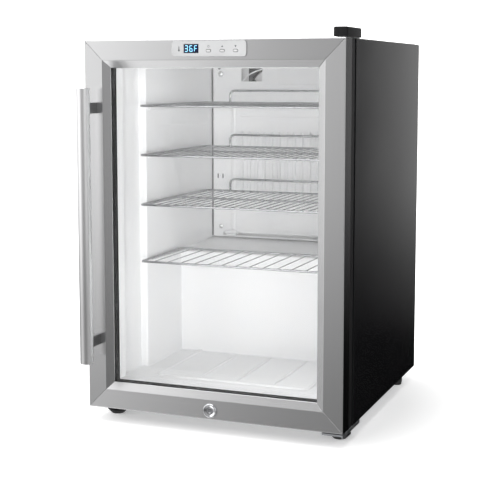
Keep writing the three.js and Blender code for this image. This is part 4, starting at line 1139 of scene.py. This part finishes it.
def pin(name, node, stretches):
    """A turned hinge pin with its collars, from (radius, low, high) stretches."""
    centre = middle(*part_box(node))
    edge = 0.3 * MM
    parts = []
    for radius, low, high in stretches:
        parts.append(turned_part([
            (0, low), (radius - edge, low), (radius, low + edge),
            (radius, high - edge), (radius - edge, high), (0, high)], centre, "z", 40))
    return link_mesh(name, *merge(*parts), 35)


TOP_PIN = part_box("top_hinge_pin")
put(pin("top_pin", "top_hinge_pin", [
    (3.5 * MM, TOP_PIN[0].z, TOP_PIN[1].z - 1 * MM),
    (6.0 * MM, Z_TOP + 0.4 * MM, Z_TOP + 2.0 * MM),
    (5.5 * MM, TOP_PIN[1].z - 2.6 * MM, TOP_PIN[1].z)]), "cabinet", zinc, "zinc_plate", "top_hinge_pin")
LOW_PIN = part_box("bottom_hinge_pin")
put(pin("bottom_pin", "bottom_hinge_pin", [
    (3.5 * MM, LOW_PIN[0].z + 1 * MM, LOW_PIN[1].z),
    (6.0 * MM, Z_BASE, Z_BASE + 0.6 * MM),
    (5.5 * MM, LOW_PIN[0].z, LOW_PIN[0].z + 1.7 * MM)]), "cabinet", zinc, "zinc_plate", "bottom_hinge_pin")


# ---- feet
def front_foot(name):
    """The scalloped plastic base of a levelling foot."""
    low, _, (cx, cy), r = round_node(name)
    base_profile = [
        (0, 0), (0.52, 0), (0.58, 0.3), (0.65, 1.5), (0.93, 6.3), (0.985, 7.4), (1.0, 8.2),
        (0.97, 8.9), (0.90, 9.2), (0.48, 9.7), (0.46, 13.5), (0.40, 14.0), (0, 14.0)]
    segments = 96
    scallops = 16
    loops = []
    for share, z in base_profile:
        loop = []
        for k in range(segments):
            turn = 2 * math.pi * k / segments
            scallop = 0.35 * MM * (1 - math.cos(scallops * turn)) / 2 if share > 0.9 else 0
            radius = max(share * r - scallop, 0.01 * MM)
            loop.append((cx + radius * math.cos(turn), cy + radius * math.sin(turn), low.z + z * MM))
        loops.append(loop)
    return link_mesh(name + "_base", *stacked_part(loops), 40)


def foot_thread(name):
    """The thread of a levelling foot with its lock nut and washer."""
    low, high, centre, r = round_node(name)
    profile = [(0, low.z + 10 * MM)]
    ridges = 20
    start = low.z + 13 * MM
    for k in range(ridges):
        z = start + (high.z - start) * k / ridges
        profile.append((3.0 * MM, z))
        profile.append((2.6 * MM, z + (high.z - start) / ridges / 2))
    profile.append((0, high.z))
    nut = 6.2 * MM
    turns = [math.pi * j / 3 for j in range(6)]
    flats = [(centre[0] + nut * math.cos(turn), centre[1] + nut * math.sin(turn)) for turn in turns]
    hexagon = stacked_part([[(x, y, low.z + level * MM) for x, y in flats] for level in (14.0, 17.5)])
    washer = turned_part([
        (0, low.z + 9.0 * MM), (r * 0.72, low.z + 9.0 * MM), (r * 0.74, low.z + 9.6 * MM),
        (r * 0.70, low.z + 10.4 * MM), (0, low.z + 11 * MM)], centre, "z", 48)
    thread = turned_part(profile, centre, "z", 24)
    return link_mesh(name + "_thread", *merge(thread, hexagon, washer), 30)


for foot in ("front_foot_left", "front_foot_right"):
    put(front_foot(foot), foot, dull_plastic, "rubber", foot)
    put(foot_thread(foot), foot, zinc, "zinc_plate")


def rear_foot(name):
    low, _, centre, r = round_node(name)
    shares = [(0, 0), (0.72, 0), (0.80, 0.6), (0.84, 2), (0.86, 5), (0.90, 5.6)]
    profile = [(share * r, low.z + z * MM) for share, z in shares]
    top = Z_BASE - GAP
    profile += [(r - 0.8 * MM, Z_BASE - 2 * MM), (r, Z_BASE - 1.2 * MM), (r, top), (0, top)]
    return link_mesh(name + "_pad", *turned_part(profile, centre, "z", 48), 40)


for foot in ("rear_foot_left", "rear_foot_right"):
    put(rear_foot(foot), "cabinet", rubber, "rubber", foot)


# ---- compressor bay
def compressor():
    low, high, centre, r = round_node("compressor_shell")
    shares = [
        (0, 0), (0.45, 0), (0.66, 0.03), (0.82, 0.09), (0.90, 0.18), (0.93, 0.30), (0.94, 0.47),
        (0.985, 0.475), (1, 0.48), (1, 0.515), (0.985, 0.52), (0.94, 0.525), (0.93, 0.66),
        (0.89, 0.77), (0.80, 0.87), (0.64, 0.945), (0.42, 0.985), (0.2, 0.997), (0, 1)]
    profile = [(share * r, low.z + rise * (high.z - low.z)) for share, rise in shares]
    return link_mesh("compressor_can", *turned_part(profile, centre, "z", 72), 50)


put(compressor(), "cabinet", enamel, "black_paint", "compressor_shell")


def relay_box():
    low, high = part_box("relay_cover")
    body = rounded_box_part(low, high, 3 * MM, 4)
    lid = rounded_box_part((high.x - 6 * MM, low.y + 2 * MM, low.z + 2 * MM),
                           (high.x, high.y - 2 * MM, high.z - 2 * MM), 1.5 * MM)
    return link_mesh("relay_box", *merge(body, lid), 40)


put(relay_box(), "cabinet", black_plastic, "black_plastic", "relay_cover")


def drier():
    low, high, centre, r = round_node("filter_drier")
    can = r / MM
    profile = in_mm([
        (0, 0), (2.4, 0), (2.4, 8), (4, 9.5), (0.8 * can, 14), (can, 18), (can, 24), (0.95 * can, 25),
        (can, 26), (can, 70), (0.95 * can, 71), (can, 72), (can, 78), (0.8 * can, 82), (4, 86),
        (2.4, 88)], low.z)
    profile += [(2.4 * MM, high.z), (0, high.z)]
    return link_mesh("drier_can", *turned_part(profile, centre, "z", 40), 40)


put(drier(), "cabinet", copper, "copper", "filter_drier")


def gland():
    low, high, centre, r = round_node("cord_gland", "xz")
    bush = r / MM
    profile = in_mm([(4, 0), (7, 0)], low.y) + in_mm([
        (7, -1.6), (bush - 0.3, -1.6), (bush, -1.2), (bush, -0.4), (bush - 0.5, 0),
        (4.6, 0), (4, -0.5)], high.y)
    profile.append((4 * MM, low.y))
    return link_mesh("gland_bush", *turned_part(profile, centre, "y", 40), 40)


put(gland(), "cabinet", black_plastic, "black_plastic", "cord_gland")


# ---- screws on the back
def screw_part(x, z, y, radius, height):
    """A pan-head screw facing +Y, with a dip in its head."""
    shares = [(0, 0.55), (0.28, 0.6), (0.34, 1), (0.7, 0.86), (0.95, 0.45), (1, 0)]
    profile = [(radius * share, y + height * rise) for share, rise in shares]
    return turned_part(profile + [(0, y - 0.3 * MM)], (x, z), "y", 24)


def back_screws():
    low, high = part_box("back_panel")
    y = high.y - 0.2 * MM
    height = min(1.4 * MM, Y_REAR - y)
    parts = [
        screw_part(x * MM, z, y, 3.4 * MM, height)
        for x in (-185, -60, 60, 185)
        for z in (low.z + 8 * MM, high.z - 24 * MM)]
    return link_mesh("back_panel_screws", *merge(*parts), 40)


put(back_screws(), "cabinet", zinc, "zinc_plate")


# ---- floor, lights and camera
def pale_floor():
    """A pale floor that grows brighter away from the object, until it meets the backdrop."""
    shade = Shade("studio_floor")
    cloud = shade.noise(1.5, 2.0)
    shade.colour(shade.mix(shade.remap(cloud, 0, 1), (0.86, 0.86, 0.86), (0.88, 0.88, 0.88)))
    shade.rough(shade.remap(cloud, 0.7, 0.8))
    away = shade.node("ShaderNodeVectorMath", {0: shade.place}, operation="LENGTH")
    glow = shade.remap(away.outputs["Value"], 0.3, 1.1, 0.25, 0.65)
    shade.link(glow, shade.bsdf.inputs["Emission Strength"])
    shade.fixed(emission_color=(1, 1, 1, 1), specular_ior_level=0.0)
    size = 14.0
    floor = link_mesh("studio_floor", *box_part((-size, -size, -0.01), (size, size, 0.0)))
    floor.data.materials.append(shade.material)
    floor.visible_glossy = False


def white_backdrop():
    """A plain white dome round the scene, which lights nothing."""
    shade = Shade("studio_backdrop")
    cloud = shade.noise(0.5, 2.0)
    shade.colour(shade.mix(shade.remap(cloud, 0, 1), (0.9, 0.9, 0.9), (0.92, 0.92, 0.92)))
    shade.fixed(emission_color=(1, 1, 1, 1), emission_strength=1.1, specular_ior_level=0.0)
    reach = 12.0
    profile = [(0, -reach)]
    for k in range(1, 16):
        turn = math.pi * k / 16
        profile.append((reach * math.sin(turn), -reach * math.cos(turn)))
    profile.append((0, reach))
    dome = link_mesh("studio_backdrop", *turned_part(profile, (0, 0), "z", 32), 60)
    dome.data.materials.append(shade.material)
    dome.visible_glossy = False
    dome.visible_diffuse = False
    dome.visible_shadow = False


pale_floor()
white_backdrop()


def softbox(name, location, target, size, power, in_reflections=True):
    light = bpy.data.lights.new(name, "AREA")
    light.shape = "RECTANGLE"
    light.size = size[0]
    light.size_y = size[1]
    light.energy = power
    obj = bpy.data.objects.new(name, light)
    obj.location = location
    obj.rotation_euler = (Vector(target) - obj.location).to_track_quat("-Z", "Y").to_euler()
    obj.visible_camera = False
    obj.visible_glossy = in_reflections
    bpy.context.scene.collection.objects.link(obj)
    return obj


CENTRE = (0, 0, 0.32)
softbox("key_left", (-2.4, -1.9, 1.1), CENTRE, (1.6, 2.0), 34, in_reflections=False)
softbox("overhead", (-0.2, -0.6, 2.8), CENTRE, (2.4, 2.0), 34)
softbox("back_right", (0.25, 3.2, 0.75), (0.2, 0.2, 0.45), (0.9, 1.0), 12, in_reflections=False)
softbox("front_fill", (1.0, -2.6, 0.45), (0, 0, 0.25), (1.6, 1.2), 44, in_reflections=False)


def ramp(tree, value, stops):
    """A grey ramp over a value from -1 to 1, from (value, tone) stops."""
    span = add_node(tree, "ShaderNodeMapRange", {"From Min": -1, "From Max": 1, "Value": value})
    tones = add_node(tree, "ShaderNodeValToRGB", {"Fac": span.outputs["Result"]})
    points = tones.color_ramp.elements
    while len(points) < len(stops):
        points.new(0.5)
    for point, (place, tone) in zip(points, stops):
        point.position = (place + 1) / 2
        point.color = (tone, tone, tone, 1)
    return tones.outputs["Color"]


def times(tree, first, second):
    return add_node(tree, "ShaderNodeMath", {0: first, 1: second}, operation="MULTIPLY").outputs["Value"]


def studio_world():
    """Soft surroundings: bright to the front left, a pale strip to the front right, dark behind."""
    world = bpy.data.worlds.new("studio")
    bpy.context.scene.world = world
    world.use_nodes = True
    tree = world.node_tree
    sky = tree.nodes["Background"]
    way = add_node(tree, "ShaderNodeTexCoord").outputs["Generated"]
    split = add_node(tree, "ShaderNodeSeparateXYZ", {"Vector": way})
    front_side = ramp(tree, split.outputs["X"], [
        (-1.0, 0.9), (-0.87, 1.45), (-0.58, 1.6), (-0.48, 1.42), (-0.40, 0.80), (-0.33, 0.46), (-0.1, 0.45),
        (0.35, 0.30), (0.64, 0.5), (0.88, 1.2), (1.0, 0.35)])
    front_height = ramp(tree, split.outputs["Z"], [
        (-1.0, 1.2), (-0.7, 1.15), (-0.42, 0.40), (-0.30, 0.34), (-0.22, 0.52), (-0.12, 0.90), (0.0, 1.02),
        (0.5, 1.1), (1.0, 1.2)])
    rear_side = ramp(tree, split.outputs["X"], [
        (-1.0, 1.0), (-0.4, 0.8), (0.12, 1.5), (0.205, 1.2), (0.265, 0.05), (0.40, 0.03), (0.7, 0.3),
        (1.0, 0.5)])
    rear_height = ramp(tree, split.outputs["Z"], [
        (-1.0, 0.8), (-0.6, 0.5), (-0.35, 0.0), (-0.22, 0.01), (-0.16, 0.22), (-0.09, 0.66), (0.0, 0.8),
        (1.0, 0.9)])
    behind = ramp(tree, split.outputs["Y"], [(-1.0, 0.0), (-0.1, 0.0), (0.15, 1.0), (1.0, 1.0)])
    both = add_node(tree, "ShaderNodeMix", {
        "Factor": behind, 6: times(tree, front_side, front_height),
        7: times(tree, rear_side, rear_height)}, data_type="RGBA")
    tree.links.new(both.outputs[2], sky.inputs["Color"])
    sky.inputs["Strength"].default_value = 1.0


studio_world()

camera = bpy.data.objects.new("camera", bpy.data.cameras.new("camera"))
bpy.context.scene.collection.objects.link(camera)
camera.data.sensor_width = 36
camera.data.lens = 84.38
camera.data.shift_y = -0.088
camera.location = (0.7086, -1.8563, 0.5626)
YAW = math.radians(21.28)
PITCH = math.radians(6.37)
camera.rotation_euler = (math.pi / 2 - PITCH, 0, YAW)
bpy.context.scene.camera = camera
bpy.context.scene.view_settings.view_transform = "Standard"
